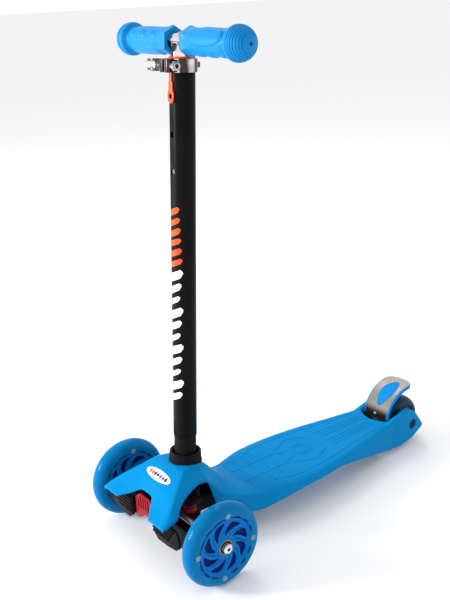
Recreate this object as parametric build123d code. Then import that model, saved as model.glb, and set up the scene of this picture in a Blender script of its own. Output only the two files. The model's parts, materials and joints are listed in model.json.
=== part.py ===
"""Three-wheeled kick scooter for a child: lean-to-steer front axle, lift-out column, sliding T-bar.

Millimetres, +Z up, -Y forward, +X to the rider's left. Pieces are modelled about the point on the
floor under the middle of the front axle, then moved so that the origin is under the middle of the
whole scooter. Column pieces are modelled in the column's own frame (Z up the tube, zero at the
socket rim) and tilted into place.
"""
from build123d import *
import os
from math import atan2, cos, degrees, radians, sin, sqrt

# ---- driving dimensions ----
FRONT_AXLE_Y = -224.5          # front axle in the finished frame
WHEELBASE = 474.0
FRONT_R, FRONT_W, FRONT_X = 60.0, 26.0, 115.0
REAR_R, REAR_W = 40.0, 34.0
BEARING_R, BEARING_BORE_R, BEARING_W = 11.0, 4.0, 7.0
AXLE_R = 3.95                  # leaves 0.05 mm of running clearance in the bearings
CLEAR = 0.3                    # gap between faces that move past each other

LEAN_Z = 60.0                  # height of the lean pivot
KING_X = 84.0                  # king pin axes
ARM = 18.0                     # steering arm, forward of the king pin
TIE_Z = LEAN_Z + 1.2 * ARM     # tie rod mid-plane: gives 1.2 degrees of steer per degree of lean
TIE_T = 3.0

DECK_T = 3.0                   # moulded wall
DECK_TOP = 60.0
FORK_IN, FORK_OUT = 30.0, 38.0
DECK_END_Y = 421.0
WELL_Y = 418.8                  # rear face of the deck's end wall, in front of the brake hinge

COLUMN_TILT = 3.2
COLUMN_BASE = (0.0, 29.9, 142.3)   # centre of the socket rim
TUBE_R, TUBE_BORE_R = 16.5, 15.0
FOOT_R, FOOT_BOTTOM, FOOT_TOP = 15.5, -44.0, 25.5
SOCKET_R, SOCKET_BORE_R = 22.4, 15.58
TUBE_TOP = 533.0
CLAMP_LOW, CLAMP_HIGH = 518.3, 534.5
CLAMP_BOLT_Y = -22.5
BAR_TUBE_R, BAR_TUBE_BORE_R = 14.0, 12.4
BAR_LOW = 350.0
CROSSBAR_Z, CROSSBAR_R, CROSSBAR_HALF = 554.8, 11.0, 112.0
HOLES_Z = (395.8, 442.4, 489.0)
BUTTON_TIP_Y = -14.3
EYELET_R = 3.4
STRAP_TAB = [(-3.6, 507), (-3.8, 497), (-5.8, 493.5), (-6.1, 489.5), (-5.2, 484), (-2.5, 481.2)]
STRAP_TAB += [(-x, z) for x, z in reversed(STRAP_TAB)]
HOLE_R = 4.2
LEVER_PIVOT = (-26.0, -22.5)

BRAKE_PIVOT = (425.0, 51.0)
BRAKE_HALF = 25.0
LIGHT_TURN = -6
SWIRL_LEAD = -32
SWIRL_START = 21
BRAKE_SPINE = [
    (422.3, 57.0), (422.7, 63.0), (424.3, 70.0), (427.8, 77.5), (433.2, 85.0), (441.5, 93.0),
    (448.0, 97.5), (454.3, 100.8), (462.0, 103.6), (470.0, 105.2), (478.5, 106.2), (486.0, 106.3),
    (492.0, 105.5),
]
PAD_OUTLINE = [
    (7, 425), (-4, 429), (-9, 435), (-14, 448), (-12, 463), (-7, 476), (4, 477), (10, 467),
    (16, 443), (13, 430),
]

# Stations of the deck moulding, nose to tail: y, crown height, shoulder half-width and height,
# edge half-width and height, and the height of the side wall's lower rim.
STATIONS = [
    (-64.5, 88.0, 70.0, 88.5, 75.0, 87.0, 84.5),
    (-50.0, 93.0, 66.0, 97.5, 74.5, 92.0, 87.0),
    (-39.0, 101.0, 60.0, 105.0, 72.5, 94.0, 89.0),
    (-25.0, 115.0, 50.0, 113.5, 63.0, 104.0, 100.0),
    (-11.0, 124.0, 40.0, 122.0, 56.5, 110.0, 106.0),
    (4.0, 129.5, 31.0, 129.0, 52.5, 115.0, 111.0),
    (15.0, 131.0, 26.0, 130.0, 51.0, 117.0, 113.5),
    (29.0, 130.5, 24.0, 129.0, 50.0, 115.0, 111.0),
    (44.0, 125.0, 23.0, 124.5, 49.5, 100.0, 72.0),
    (60.0, 109.0, 23.0, 108.0, 50.0, 80.0, 49.0),
    (75.0, 92.0, 25.0, 91.0, 51.0, 70.0, 42.0),
    (90.0, 77.0, 28.0, 76.0, 52.0, 65.0, 37.0),
    (105.0, 66.0, 32.0, 65.5, 53.0, 61.0, 32.0),
    (125.0, DECK_TOP, 40.0, DECK_TOP, 55.5, 57.5, 29.5),
    (150.0, DECK_TOP, 55.0, DECK_TOP, 63.0, 57.0, 36.0),
    (180.0, DECK_TOP, 61.0, DECK_TOP, 69.0, 57.5, 43.0),
    (210.0, DECK_TOP, 62.0, DECK_TOP, 70.0, 57.5, 45.0),
    (240.0, DECK_TOP, 61.0, DECK_TOP, 69.0, 57.5, 46.0),
    (270.0, DECK_TOP, 58.0, DECK_TOP, 66.0, 57.5, 46.0),
    (300.0, DECK_TOP, 54.5, DECK_TOP, 62.0, 57.5, 41.0),
    (330.0, DECK_TOP, 49.5, DECK_TOP, 57.0, 57.0, 34.0),
    (360.0, DECK_TOP, 44.0, DECK_TOP, 51.0, 57.0, 26.0),
    (390.0, DECK_TOP, 39.0, DECK_TOP, 46.0, 57.0, 19.0),
    (DECK_END_Y, DECK_TOP, 34.0, DECK_TOP, 40.0, 57.5, 10.0),
]
NOTCH = [(-43.0, -66.0), (43.0, -66.0), (13.0, -39.0), (-13.0, -39.0)]
FORK_OUTLINE = [(412, 12), (442, 8), (476, 13), (504, 29), (481, 61), (459, 74), (438, 66), (412, 59)]
SLOT_BOW = [(-30, 419), (-26, 415.5), (-12, 409), (0, 406.5), (12, 409), (26, 415.5), (30, 419)]
AXLE_RECESS_R = 9.0


# ---- small helpers ----
def box(x0, x1, y0, y1, z0, z1):
    """Box between two corners."""
    middle = Pos((x0 + x1) / 2, (y0 + y1) / 2, (z0 + z1) / 2)
    return middle * Box(abs(x1 - x0), abs(y1 - y0), abs(z1 - z0))


def rod(start, end, radius):
    """Round bar from one point to another."""
    a = Vector(*start)
    span = Vector(*end) - a
    plane = Plane(origin=a, z_dir=span)
    return Solid.extrude(Face(Wire(plane * Edge.make_circle(radius))), span)


def tube(start, end, radius, bore):
    """Round tube from one point to another."""
    return rod(start, end, radius) - rod(start, end, bore)


def plate(points, plane, low, high):
    """Straight-edged outline on a plane, thick from low to high along its normal."""
    face = Face(Wire.make_polygon([plane.from_local_coords((u, v, low)) for u, v in points]))
    return Solid.extrude(face, plane.z_dir * (high - low))


def side_plate(points, x0, x1):
    """Outline given as (y, z), thick along X."""
    return plate(points, Plane(origin=(0, 0, 0), x_dir=(0, 1, 0), z_dir=(1, 0, 0)), x0, x1)


def front_plate(points, y0, y1):
    """Outline given as (x, z), thick along Y."""
    face = Face(Wire.make_polygon([(x, y0, z) for x, z in points]))
    return Solid.extrude(face, Vector(0, y1 - y0, 0))


def floor_plate(points, z0, z1):
    """Outline given as (x, y), thick along Z."""
    face = Face(Wire.make_polygon([(x, y, z0) for x, y in points]))
    return Solid.extrude(face, Vector(0, 0, z1 - z0))


def turned_x(profile, centre=(0, 0, 0)):
    """Turned piece about an X axis; profile points are (x along the axis, radius)."""
    face = Face(Wire.make_polygon([(x, 0, r) for x, r in profile]))
    return Pos(*centre) * revolve(face, Axis.X, 360)


def turned_z(profile):
    """Turned piece about Z; profile points are (radius, z)."""
    face = Face(Wire.make_polygon([(r, 0, z) for r, z in profile]))
    return revolve(face, Axis.Z, 360)


def hexagon_x(x0, x1, y, z, across_flats):
    """Hexagon bar along X."""
    corner = across_flats / 2 / cos(radians(30))
    points = [(y + corner * cos(radians(60 * k)), z + corner * sin(radians(60 * k))) for k in range(6)]
    return side_plate(points, x0, x1)


def column_frame(shape):
    """Tilt a piece from the column's own frame into the scooter."""
    return Location(COLUMN_BASE, (-COLUMN_TILT, 0, 0)) * shape


# ---- deck moulding ----
def deck_section(station, shell=True):
    """Closed cross-section of the deck moulding at one station."""
    y, crown, xs, zs, xe, ze, rim = station
    right = [(xe, rim), (xe, ze), (xs, zs)]
    left = [(-x, z) for x, z in reversed(right)]
    points = right + [(0, crown)] + left
    if shell:
        inner = [(xe - DECK_T, rim), (xe - DECK_T, ze - 0.8 * DECK_T), (xs - 1.0, zs - DECK_T)]
        points += [(-x, z) for x, z in inner]
        points += [(0, crown - DECK_T)]
        points += [(x, z) for x, z in reversed(inner)]
    return Face(Wire.make_polygon([(x, y, z) for x, z in points]))


def deck():
    """One moulding: nose hood with two arms, standing deck and rear fork."""
    shell = Solid.make_loft([deck_section(s).outer_wire() for s in STATIONS], ruled=True)
    filled = Solid.make_loft([deck_section(s, False).outer_wire() for s in STATIONS], ruled=True)
    ribs = [box(x - 1.2, x + 1.2, 128, WELL_Y - 1, 34, 70) for x in (-28, 0, 28)]
    ribs += [box(-80, 80, y - 1.2, y + 1.2, 36, 70) for y in range(135, 411, 30)]
    ribs += [box(-80, 80, WELL_Y - 3, WELL_Y, 8, 70)]
    ribs += [Pos(x, y, 66) * Cylinder(5, 28) for x in (-10, 10) for y in (84, 108)]
    ribs += [box(-46, -26, 60, 63, 50, 92), box(26, 46, 60, 63, 50, 92)]
    body = shell
    for rib in ribs:
        body = body + (rib & filled)
    body = body - floor_plate(NOTCH, 60, 160)
    for side in (-1, 1):
        fork = side_plate(FORK_OUTLINE, *sorted((side * FORK_IN, side * FORK_OUT)))
        body = body + fork
    body = body - rod((-60, WHEELBASE, REAR_R), (60, WHEELBASE, REAR_R), AXLE_R + 0.05)
    for side in (-1, 1):
        body = body - rod((side * 33, WHEELBASE, REAR_R), (side * 45, WHEELBASE, REAR_R), AXLE_RECESS_R)
    body = body - rod((-60, *BRAKE_PIVOT), (60, *BRAKE_PIVOT), 2.5)
    body = body - box(-FORK_IN, FORK_IN, WELL_Y, DECK_END_Y + 12, 8, 90)
    body = body - floor_plate(SLOT_BOW, 52, 90)
    body = body - column_frame(rod((0, 0, -60), (0, 0, 30), SOCKET_R))
    for x in (-10, 10):
        for y in (84, 108):
            body = body - rod((x, y, 30), (x, y, 58 if y > 100 else 64), 2.0)
    return body


def badge():
    """Oval badge lying on the hood's front slope."""
    slope = degrees(atan2(STATIONS[4][1] - STATIONS[3][1], STATIONS[4][0] - STATIONS[3][0]))
    disc = extrude(Ellipse(27.5, 8.8), 1.1, both=True)
    placed = Location((0, -18, 119.7), (slope, 0, 0)) * disc
    filled = Solid.make_loft([deck_section(s, False).outer_wire() for s in STATIONS[2:7]], ruled=True)
    return placed - filled


# ---- nose: chassis, skirt, pedal ----
def steering_chassis():
    """Black frame inside the hood: pivot plates, bridge, bump-stop wings and rear tongue."""
    front = front_plate([(-22, 52), (-12, 48), (12, 48), (22, 52), (26, 98), (-26, 98)], -30, -26)
    rear = front_plate([(-24, 46), (24, 46), (26, 98), (-26, 98)], 27, 34)
    bridge = box(-26, 26, -30, 34, 90, 98)
    wings = box(-52, 52, -7, 17, 88, 94)
    tongue = box(-18, 18, 34, 118, 46, 52) + box(-18, -14, 34, 78, 52, 70) + box(14, 18, 34, 78, 52, 70)
    frame = front + rear + bridge + wings + tongue
    frame = frame - rod((0, -40, LEAN_Z), (0, 40, LEAN_Z), 4.0)
    frame = frame - rod((0, -ARM, 85), (0, -ARM, 99), 3.0)
    for x in (-10, 10):
        for y in (84, 108):
            frame = frame - rod((x, y, 40), (x, y, 60), 2.6)
    return frame - column_frame(rod((0, 0, -60), (0, 0, 0), SOCKET_R - 2.4))


def column_socket():
    """Black cup that holds the column; its collar stands on the hood."""
    collar = rod((0, 0, -16), (0, 0, 0), SOCKET_R)
    barrel = rod((0, 0, -52), (0, 0, -16), SOCKET_R - 2.4)
    bore = rod((0, 0, -47), (0, 0, 1), SOCKET_BORE_R)
    mouth = turned_z([(0, -7), (SOCKET_BORE_R, -7), (18.8, -3), (18.8, 1), (0, 1)])
    cup = column_frame(collar + barrel - bore - mouth)
    keeper = column_frame(box(-5, 5, -30, -10, -40, -34))
    return cup - keeper


def front_skirt():
    """Black ribbed apron under the hood arms, with the walls that carry the pedal pin."""
    panel = [(26, 84), (70, 84), (82, 80), (87, 70), (87, 58), (80, 52), (60, 48.5), (36, 48), (26, 56)]
    pieces = []
    for side in (-1, 1):
        outline = [(side * x, z) for x, z in panel]
        pieces.append(front_plate(outline, -48, -45))
        for k in range(5):
            z = 58 + 5.4 * k
            reach = min(78, 62 + 4.0 * k)
            pieces.append(box(side * 27, side * reach, -50, -48, z, z + 2.6))
        pieces.append(box(side * 26, side * 29, -48, -30, 58, 84))
    apron = pieces[0]
    for piece in pieces[1:]:
        apron = apron + piece
    apron = apron + box(-29, 29, -34, -30, 76, 84)
    return apron - rod((-40, -38, 66), (40, -38, 66), 2.0)


def release_pedal():
    """Red foot pedal that frees the column."""
    face = front_plate([(-22, 73), (22, 73), (23, 86), (13, 94.5), (-13, 94.5), (-23, 86)], -44, -41)
    ribs = [front_plate([(x - 1.3, 74), (x + 1.3, 74), (x + 0.3, 92), (x - 2.3, 92)], -45.5, -44)
            for x in (-9, -3, 3, 9)]
    ribs += [front_plate([(x - 1.3, 74), (x + 1.3, 74), (x + 0.5, 85), (x - 2.1, 85)], -45.5, -44)
             for x in (-15, 16)]
    barrel = tube((-23, -38, 66), (23, -38, 66), 4.2, 2.05)
    lip = front_plate([(-23, 74), (9, 74), (-8, 60), (-15, 55.5), (-23, 56.5)], -44, -38.5)
    body = face
    for rib in ribs:
        body = body + rib
    body = body + barrel + box(-23, 23, -44, -41, 66, 75) + lip
    return body - rod((-30, -38, 66), (30, -38, 66), 2.05)


def helix_coil(radius, pitch, turns, wire):
    """Round-wire coil standing along Z."""
    path = Wire(Edge.make_helix(pitch, pitch * turns, radius))
    start = path @ 0
    profile = Plane(origin=start, z_dir=path % 0) * Circle(wire)
    return sweep(profile, path)


# ---- front axle ----
def front_beam():
    """Black cross-beam with forked ends for the knuckles and a boss for the lean pivot."""
    beam = box(-73, 73, -12, 12, 50, 70)
    beam = beam - box(-70, -16, -9, 9, 46, 66) - box(16, 70, -9, 9, 46, 66)
    boss = rod((0, -24.5, LEAN_Z), (0, 26.5, LEAN_Z), 11.5)
    body = beam + boss
    for side in (-1, 1):
        for low, high in ((44.5, 50), (70, 75)):
            ear = box(side * 62, side * KING_X, -8, 8, low, high)
            ear = ear + rod((side * KING_X, 0, low), (side * KING_X, 0, high), 9)
            body = body + ear
        body = body - rod((side * KING_X, 0, 40), (side * KING_X, 0, 80), 4.05)
    return body - rod((0, -30, LEAN_Z), (0, 30, LEAN_Z), 4.05)


def lean_elastomer(side):
    """Red rubber bump stop between the beam and the chassis wing."""
    profile = [(0, 70), (9, 70), (11, 72.5), (11, 76), (8, 78.5), (8, 80.5), (10.5, 83), (10.5, 85)]
    profile += [(8, 88), (0, 88)]
    return Pos(side * 38, 4, 0) * turned_z(profile)


def knuckle(side):
    """Black upright: king-pin barrel and stub-axle boss."""
    barrel = rod((side * KING_X, 0, 50 + CLEAR), (side * KING_X, 0, 70 - CLEAR), 8.5)
    stub = rod((side * KING_X, 0, LEAN_Z), (side * 99, 0, LEAN_Z), 8.5)
    body = barrel + stub
    body = body - rod((side * KING_X, 0, 40), (side * KING_X, 0, 80), 4.0)
    return body - rod((side * 89, 0, LEAN_Z), (side * 110, 0, LEAN_Z), AXLE_R)


def king_pin(side):
    """Steel king pin with a washer-faced head under the beam."""
    pin = rod((side * KING_X, 0, 41), (side * KING_X, 0, 79.4), 4.0)
    head = rod((side * KING_X, 0, 40), (side * KING_X, 0, 44.5 - CLEAR), 6.5)
    return pin + head


def steering_arm(side):
    """Zinc-plated arm from the king pin forward to the tie-rod pin."""
    x = side * KING_X
    arm = rod((x, 0, 75.4), (x, 0, 79.4), 8) + rod((x, -ARM, 75.4), (x, -ARM, 79.4), 5.5)
    arm = arm + floor_plate([(x - 7.5, 2), (x + 7.5, 2), (x + 5, -ARM), (x - 5, -ARM)], 75.4, 79.4)
    arm = arm - rod((x, 0, 70), (x, 0, 85), 4.0)
    stud = rod((x, -ARM, 79.4), (x, -ARM, 86), 2.5) + rod((x, -ARM, 83.6), (x, -ARM, 86.2), 4.6)
    return arm + stud


def tie_rod():
    """Plated steel strip that ties both steering arms to the chassis drive pin."""
    low, high = TIE_Z - TIE_T / 2, TIE_Z + TIE_T / 2
    strip = box(-KING_X, KING_X, -ARM - 4.5, -ARM + 4.5, low, high)
    for side in (-1, 1):
        strip = strip + rod((side * KING_X, -ARM, low), (side * KING_X, -ARM, high), 6)
        strip = strip - rod((side * KING_X, -ARM, low - 1), (side * KING_X, -ARM, high + 1), 3.0)
    strip = strip + rod((0, -ARM, low), (0, -ARM, high), 7.0)
    return strip - rod((0, -ARM, low - 1), (0, -ARM, high + 1), 3.7)


# ---- wheels ----
def tyre_profile(radius, width, inner):
    """Half-section of a rounded tyre as (x, r) points."""
    half = width / 2
    depth = radius - inner
    crown = [(half * cos(radians(a)), inner + 0.35 * depth + 0.65 * depth * sin(radians(a)))
             for a in range(0, 181, 15)]
    return [(-0.8 * half, inner)] + list(reversed(crown)) + [(0.8 * half, inner)]


def tyre(x, y, z, radius, width, inner, leds=0):
    """Urethane tyre about an X axis, with pockets for light modules."""
    ring = turned_x(tyre_profile(radius, width, inner))
    for k in range(leds):
        ring = ring - Rot(90 * k + LIGHT_TURN, 0, 0) * box(-14, 14, -4, 4, inner - 3, inner + 8)
    return Pos(x, y, z) * ring


def led_modules(x, y, z, inner):
    """Clear light modules between core and tyre."""
    block = box(-12.4, 12.4, -4, 4, inner - 2, inner + 8) - rod((-20, 0, 0), (20, 0, 0), inner)
    return Compound([Pos(x, y, z) * Rot(90 * k + LIGHT_TURN, 0, 0) * block for k in range(4)])


def swirl_core(x, y, z, outer, width, window, hub, count):
    """Wheel core: rim, hub and swept spokes with windows between them."""
    half = width / 2
    rim = turned_x([(-0.8 * half, window), (0.8 * half, window), (0.8 * half, outer), (-0.8 * half, outer)])
    core = rim + turned_x([(-half + 0.5, 0.0), (half - 0.5, 0.0), (half - 0.5, hub), (-half + 0.5, hub)])
    middle, lead = (window + hub) / 2, radians(SWIRL_LEAD)
    for k in range(count):
        turn = radians(360 / count * k + SWIRL_START)
        for shift in (-0.10, 0.10):
            start = turn + shift
            points = [(hub - 1, start), (middle, start + 0.65 * lead), (window + 1, start + lead)]
            spine = [(r * cos(a), r * sin(a)) for r, a in points]
            curve = ThreePointArc(*[(0, u, v) for u, v in spine])
            across = Vector(1, 0, 0).cross(curve % 0).normalized()
            a = Vector(0, *spine[0]) - across * 1.1
            b = Vector(0, *spine[0]) + across * 1.1
            edge = [Vector(-0.55 * half, a.Y, a.Z), Vector(0.55 * half, a.Y, a.Z),
                    Vector(0.55 * half, b.Y, b.Z), Vector(-0.55 * half, b.Y, b.Z)]
            core = core + sweep(Face(Wire.make_polygon(edge)), curve)
    core = core - rod((-half, 0, 0), (half, 0, 0), 6)
    for side in (-1, 1):
        core = core - rod((side * (half - 0.5 - BEARING_W), 0, 0), (side * (half + 1), 0, 0), BEARING_R)
    return Pos(x, y, z) * core


def bearings(x, y, z, width):
    """Two shielded ball bearings, one in each end of the hub."""
    rings = []
    for side in (-1, 1):
        outer = side * (width / 2 - 0.5)
        inner = outer - side * BEARING_W
        rings.append(Pos(x, y, z) * tube((inner, 0, 0), (outer, 0, 0), BEARING_R, BEARING_BORE_R))
    return Compound(rings)


def front_axle_bolt(side):
    """Socket-head axle bolt, screwed into the knuckle."""
    shank = rod((side * 89, 0, FRONT_R), (side * 128.5, 0, FRONT_R), AXLE_R)
    head = rod((side * 128.2, 0, FRONT_R), (side * 133, 0, FRONT_R), 7)
    return shank + head - hexagon_x(*sorted((side * 129.5, side * 134)), 0, FRONT_R, 5)


def axle_spacer(side):
    """Bush between the knuckle and the wheel."""
    return tube((side * 99, 0, FRONT_R), (side * (FRONT_X - FRONT_W / 2 + 0.2), 0, FRONT_R), 6, AXLE_R)


def rear_axle():
    """Rear axle bolt, sunk in both fork plates."""
    shank = rod((-34, WHEELBASE, REAR_R), (34, WHEELBASE, REAR_R), AXLE_R)
    head = rod((33, WHEELBASE, REAR_R), (36.5, WHEELBASE, REAR_R), 6.5)
    return shank + head - hexagon_x(35, 38, WHEELBASE, REAR_R, 5)


def rear_axle_nut():
    """Nut in the rider's right fork plate."""
    nut = hexagon_x(-36.5, -33, WHEELBASE, REAR_R, 12)
    return nut - rod((-40, WHEELBASE, REAR_R), (-30, WHEELBASE, REAR_R), AXLE_R)


def rear_spacers():
    """Bushes that centre the rear wheel between the fork plates."""
    half = REAR_W / 2
    bushes = [tube((side * half, WHEELBASE, REAR_R), (side * FORK_IN, WHEELBASE, REAR_R), 6.5, AXLE_R)
              for side in (-1, 1)]
    return Compound(bushes)


# ---- rear brake ----
def brake_curve(offset):
    """Side view of the brake as (y, z) points on a curve set in by an offset."""
    points = []
    for k, (y, z) in enumerate(BRAKE_SPINE):
        y0, z0 = BRAKE_SPINE[max(0, k - 1)]
        y1, z1 = BRAKE_SPINE[min(len(BRAKE_SPINE) - 1, k + 1)]
        length = sqrt((y1 - y0) ** 2 + (z1 - z0) ** 2)
        points.append((y + offset * (z1 - z0) / length, z - offset * (y1 - y0) / length))
    return points


def brake_layer(outer, inner, half, nose):
    """Curved plate between two offsets, rounded at its free end."""
    outline = brake_curve(outer) + list(reversed(brake_curve(inner)))
    layer = side_plate(outline, -half, half)
    plan = [(-half, 400), (half, 400), (half, 478)]
    plan += [(half * sin(radians(a)), 478 + nose * cos(radians(a))) for a in range(75, -76, -15)]
    plan += [(-half, 478)]
    return layer & floor_plate(plan, 40, 120)


def brake_plate():
    """Steel tread plate of the foot brake."""
    plate_body = brake_layer(0.0, 1.6, BRAKE_HALF, 14)
    return plate_body - rod((0, 415, 63), (0, 435, 63), 2.0)


def brake_arm():
    """Moulded brake arm under the steel plate, with its hinge barrel."""
    shoe = brake_layer(1.6, 5.2, BRAKE_HALF + 0.9, 15)
    barrel = rod((-29, *BRAKE_PIVOT), (29, *BRAKE_PIVOT), 5.2)
    web = side_plate([(420.4, 50), (430, 50), (429.5, 60), (424.4, 60)], -25, 25)
    arm = shoe + barrel + web
    arm = arm - rod((-60, *BRAKE_PIVOT), (60, *BRAKE_PIVOT), 2.56)
    arm = arm - box(-9, 9, 415, 431, 44, 57)
    arm = arm - rod((0, 415, 63), (0, 440, 63), 2.0)
    return arm - brake_plate()


def brake_pad():
    """Ribbed grip insert on the steel plate."""
    pad = brake_layer(-1.0, 0.0, BRAKE_HALF, 14)
    return pad & floor_plate(PAD_OUTLINE, 70, 120)


def brake_rivet():
    """Rivet that holds the steel plate to the arm."""
    return rod((0, 420.6, 63), (0, 428, 63), 2.0) + rod((0, 420.0, 63), (0, 422.3, 63), 3.4)


def brake_hinge_pin():
    """Hinge pin across the fork plates."""
    return rod((-FORK_OUT + 1, *BRAKE_PIVOT), (FORK_OUT - 1, *BRAKE_PIVOT), 2.5)


def brake_spring():
    """Torsion spring on the hinge pin."""
    coil = helix_coil(4.2, 2.0, 6, 0.8)
    return Location((-6, *BRAKE_PIVOT), (0, 90, 0)) * coil


# ---- column, in the column's own frame ----
def column_tube():
    """Black outer tube with snap-button holes and a clamping slit in front."""
    body = tube((0, 0, FOOT_TOP), (0, 0, TUBE_TOP), TUBE_R, TUBE_BORE_R)
    for z in HOLES_Z:
        body = body - rod((0, -5, z), (0, -25, z), HOLE_R)
    return body - box(-2.2, 2.2, -25, -5, HOLES_Z[2], TUBE_TOP + 1)


def column_foot():
    """Black plug at the foot of the column, with the notch for the pedal's catch."""
    plug = rod((0, 0, FOOT_BOTTOM), (0, 0, FOOT_TOP), FOOT_R)
    plug = plug + rod((0, 0, FOOT_TOP), (0, 0, FOOT_TOP + 40), TUBE_BORE_R)
    plug = plug - rod((0, 0, FOOT_BOTTOM + 8), (0, 0, FOOT_TOP + 50), 10)
    return plug - box(-6, 6, -20, -12, -40, -32)


def clamp_collar():
    """Polished split collar with two ears in front."""
    band = tube((0, 0, CLAMP_LOW), (0, 0, CLAMP_HIGH), 19.2, TUBE_R)
    ears = box(-7.5, 7.5, -28, -17.5, CLAMP_LOW, CLAMP_HIGH) - rod((0, 0, 500), (0, 0, 560), TUBE_R)
    body = band + ears - box(-2.6, 2.6, -40, -10, CLAMP_LOW - 1, CLAMP_HIGH + 1)
    return body - rod((-20, CLAMP_BOLT_Y, 526.4), (20, CLAMP_BOLT_Y, 526.4), 2.6)


def clamp_bolt():
    """Cross bolt of the clamp, from the cam to the nut."""
    return rod((-20.5, CLAMP_BOLT_Y, 526.4), (19.5, CLAMP_BOLT_Y, 526.4), 2.5)


def clamp_nut():
    """Hexagon nut on the rider's left of the clamp."""
    nut = hexagon_x(13.5, 20.5, CLAMP_BOLT_Y, 526.4, 11)
    return nut - rod((12, CLAMP_BOLT_Y, 526.4), (22, CLAMP_BOLT_Y, 526.4), 2.5)


def clamp_spacer():
    """Black block between ear and nut, and the ribbed cam seat on the other side."""
    block = box(7.5, 13.5, -28, -17, 519, 533.5) - rod((0, 0, 510), (0, 0, 540), 19.2)
    return block - rod((6, CLAMP_BOLT_Y, 526.4), (15, CLAMP_BOLT_Y, 526.4), 2.5)


def cam_seat():
    """Ribbed washer that the lever's cam bears on."""
    seat = turned_x([(-16.5, 2.5), (-7.5, 2.5), (-7.5, 6.4), (-10, 6.4), (-10, 5.2), (-11, 5.2), (-11, 6.4),
                     (-13.5, 6.4), (-13.5, 5.2), (-14.5, 5.2), (-14.5, 6.4), (-16.5, 6.4)])
    return Pos(0, CLAMP_BOLT_Y, 526.4) * seat - rod((0, 0, 510), (0, 0, 540), 19.3)


def guide_sleeve():
    """Orange liner at the tube's mouth with its strap and eyelet."""
    flange = tube((0, 0, CLAMP_HIGH + 0.1), (0, 0, CLAMP_HIGH + 2.6), TUBE_R, BAR_TUBE_R + 0.06)
    liner = tube((0, 0, 495), (0, 0, CLAMP_HIGH + 0.1), TUBE_BORE_R - 0.03, BAR_TUBE_R + 0.06)
    strap = box(-2, 2, -18.4, -16.7, 494, CLAMP_HIGH + 2.6)
    strap = strap + box(-2, 2, -18.4, -14.5, 524, CLAMP_HIGH + 2.6)
    tab = front_plate(STRAP_TAB, -18.4, -16.7)
    body = flange + liner + strap + tab
    body = body - rod((0, 0, 480), (0, 0, 545), BAR_TUBE_R + 0.06)
    eyelet_axis = HOLES_Z[2] + 0.5
    return body - rod((0, -30, eyelet_axis), (0, -10, eyelet_axis), EYELET_R)


def quick_release_lever():
    """Cam lever: forked cam head, then a blade that wraps round the tube."""
    px, py = LEVER_PIVOT
    low, high = CLAMP_LOW + 0.7, CLAMP_HIGH - 0.7
    head = rod((px, py, low), (px, py, high), 6.2)
    sweep_points = [(23.5 * cos(radians(a)), 23.5 * sin(radians(a))) for a in (205, 130, 82)]
    spine = ThreePointArc(*[(u, v, 0) for u, v in sweep_points])
    start = spine @ 0
    profile = Plane(origin=start, z_dir=spine % 0, x_dir=(0, 0, 1)) * Rectangle(7, 3.6)
    blade = Pos(0, 0, 526.4) * sweep(profile, spine)
    sx, sy = sweep_points[0]
    link_outline = [(px - 6, py + 1), (px - 1, py + 4), (sx + 1.2, sy - 2), (sx - 2.2, sy + 3)]
    link = floor_plate(link_outline, 522.9, 529.9)
    prongs = [box(px - 12, px - 4, py - 4, py + 3, z - 1.6, z + 1.6) for z in (521.2, 531.6)]
    body = head + blade + link
    for prong in prongs:
        body = body + prong
    body = body - box(px - 13, px + 13, py - 13, py + 2.9, 522.4, 530.4)
    return body - rod((px, py, 510), (px, py, 540), 2.05)


def cam_pin():
    """Pin that the lever turns on, screwed to the clamp bolt."""
    px, py = LEVER_PIVOT
    barrel = rod((px, py, CLAMP_LOW + 0.7), (px, py, CLAMP_HIGH - 0.7), 2.0)
    return barrel + rod((px, py, 526.4), (-20.5, py, 526.4), 2.0)


# ---- T-bar, in the column's own frame ----
def handlebar():
    """Chromed T-bar: inner tube and crossbar."""
    stem = rod((0, 0, BAR_LOW), (0, 0, CROSSBAR_Z), BAR_TUBE_R)
    body = stem + rod((-CROSSBAR_HALF, 0, CROSSBAR_Z), (CROSSBAR_HALF, 0, CROSSBAR_Z), CROSSBAR_R)
    body = body - rod((0, 0, BAR_LOW - 1), (0, 0, CROSSBAR_Z), BAR_TUBE_BORE_R)
    reach = CROSSBAR_HALF + 1
    body = body - rod((-reach, 0, CROSSBAR_Z), (reach, 0, CROSSBAR_Z), CROSSBAR_R - 1.6)
    return body - rod((0, -25, HOLES_Z[0]), (0, 0, HOLES_Z[0]), 4.0)


def grip(side):
    """Soft handle grip with a hexagonal inner flange and a ridged mushroom end."""
    flange = hexagon_x(15, 24, 0, 0, 32.4)
    profile = [(22, 0), (22, 16.2), (60, 16.8), (96, 16.4), (101, 14.6), (105, 14.6), (108, 20.4)]
    profile += [(111.5, 21.4), (118, 20.4), (124, 17.2), (128.5, 12.4), (131.5, 7), (132.8, 0)]
    body = flange + turned_x(profile)
    pad = turned_x([(30, 0), (32, 18.2), (60, 19.0), (88, 18.2), (90, 0)]) & box(20, 100, -22, 3, -7, 22)
    body = body + pad
    body = body - rod((10, 0, 0), (CROSSBAR_HALF, 0, 0), CROSSBAR_R) - rod((100, 0, 0), (135, 0, 0), 1.25)
    if side < 0:
        body = mirror(body, Plane.YZ)
    return Pos(0, 0, CROSSBAR_Z) * body


def height_button():
    """Snap button in the foot of the T-bar, drawn in clear of the outer tube."""
    z = HOLES_Z[0]
    return rod((0, BUTTON_TIP_Y, z), (0, -6.7, z), 3.9) + rod((0, -8.1, z), (0, -6.7, z), 5.5)


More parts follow.
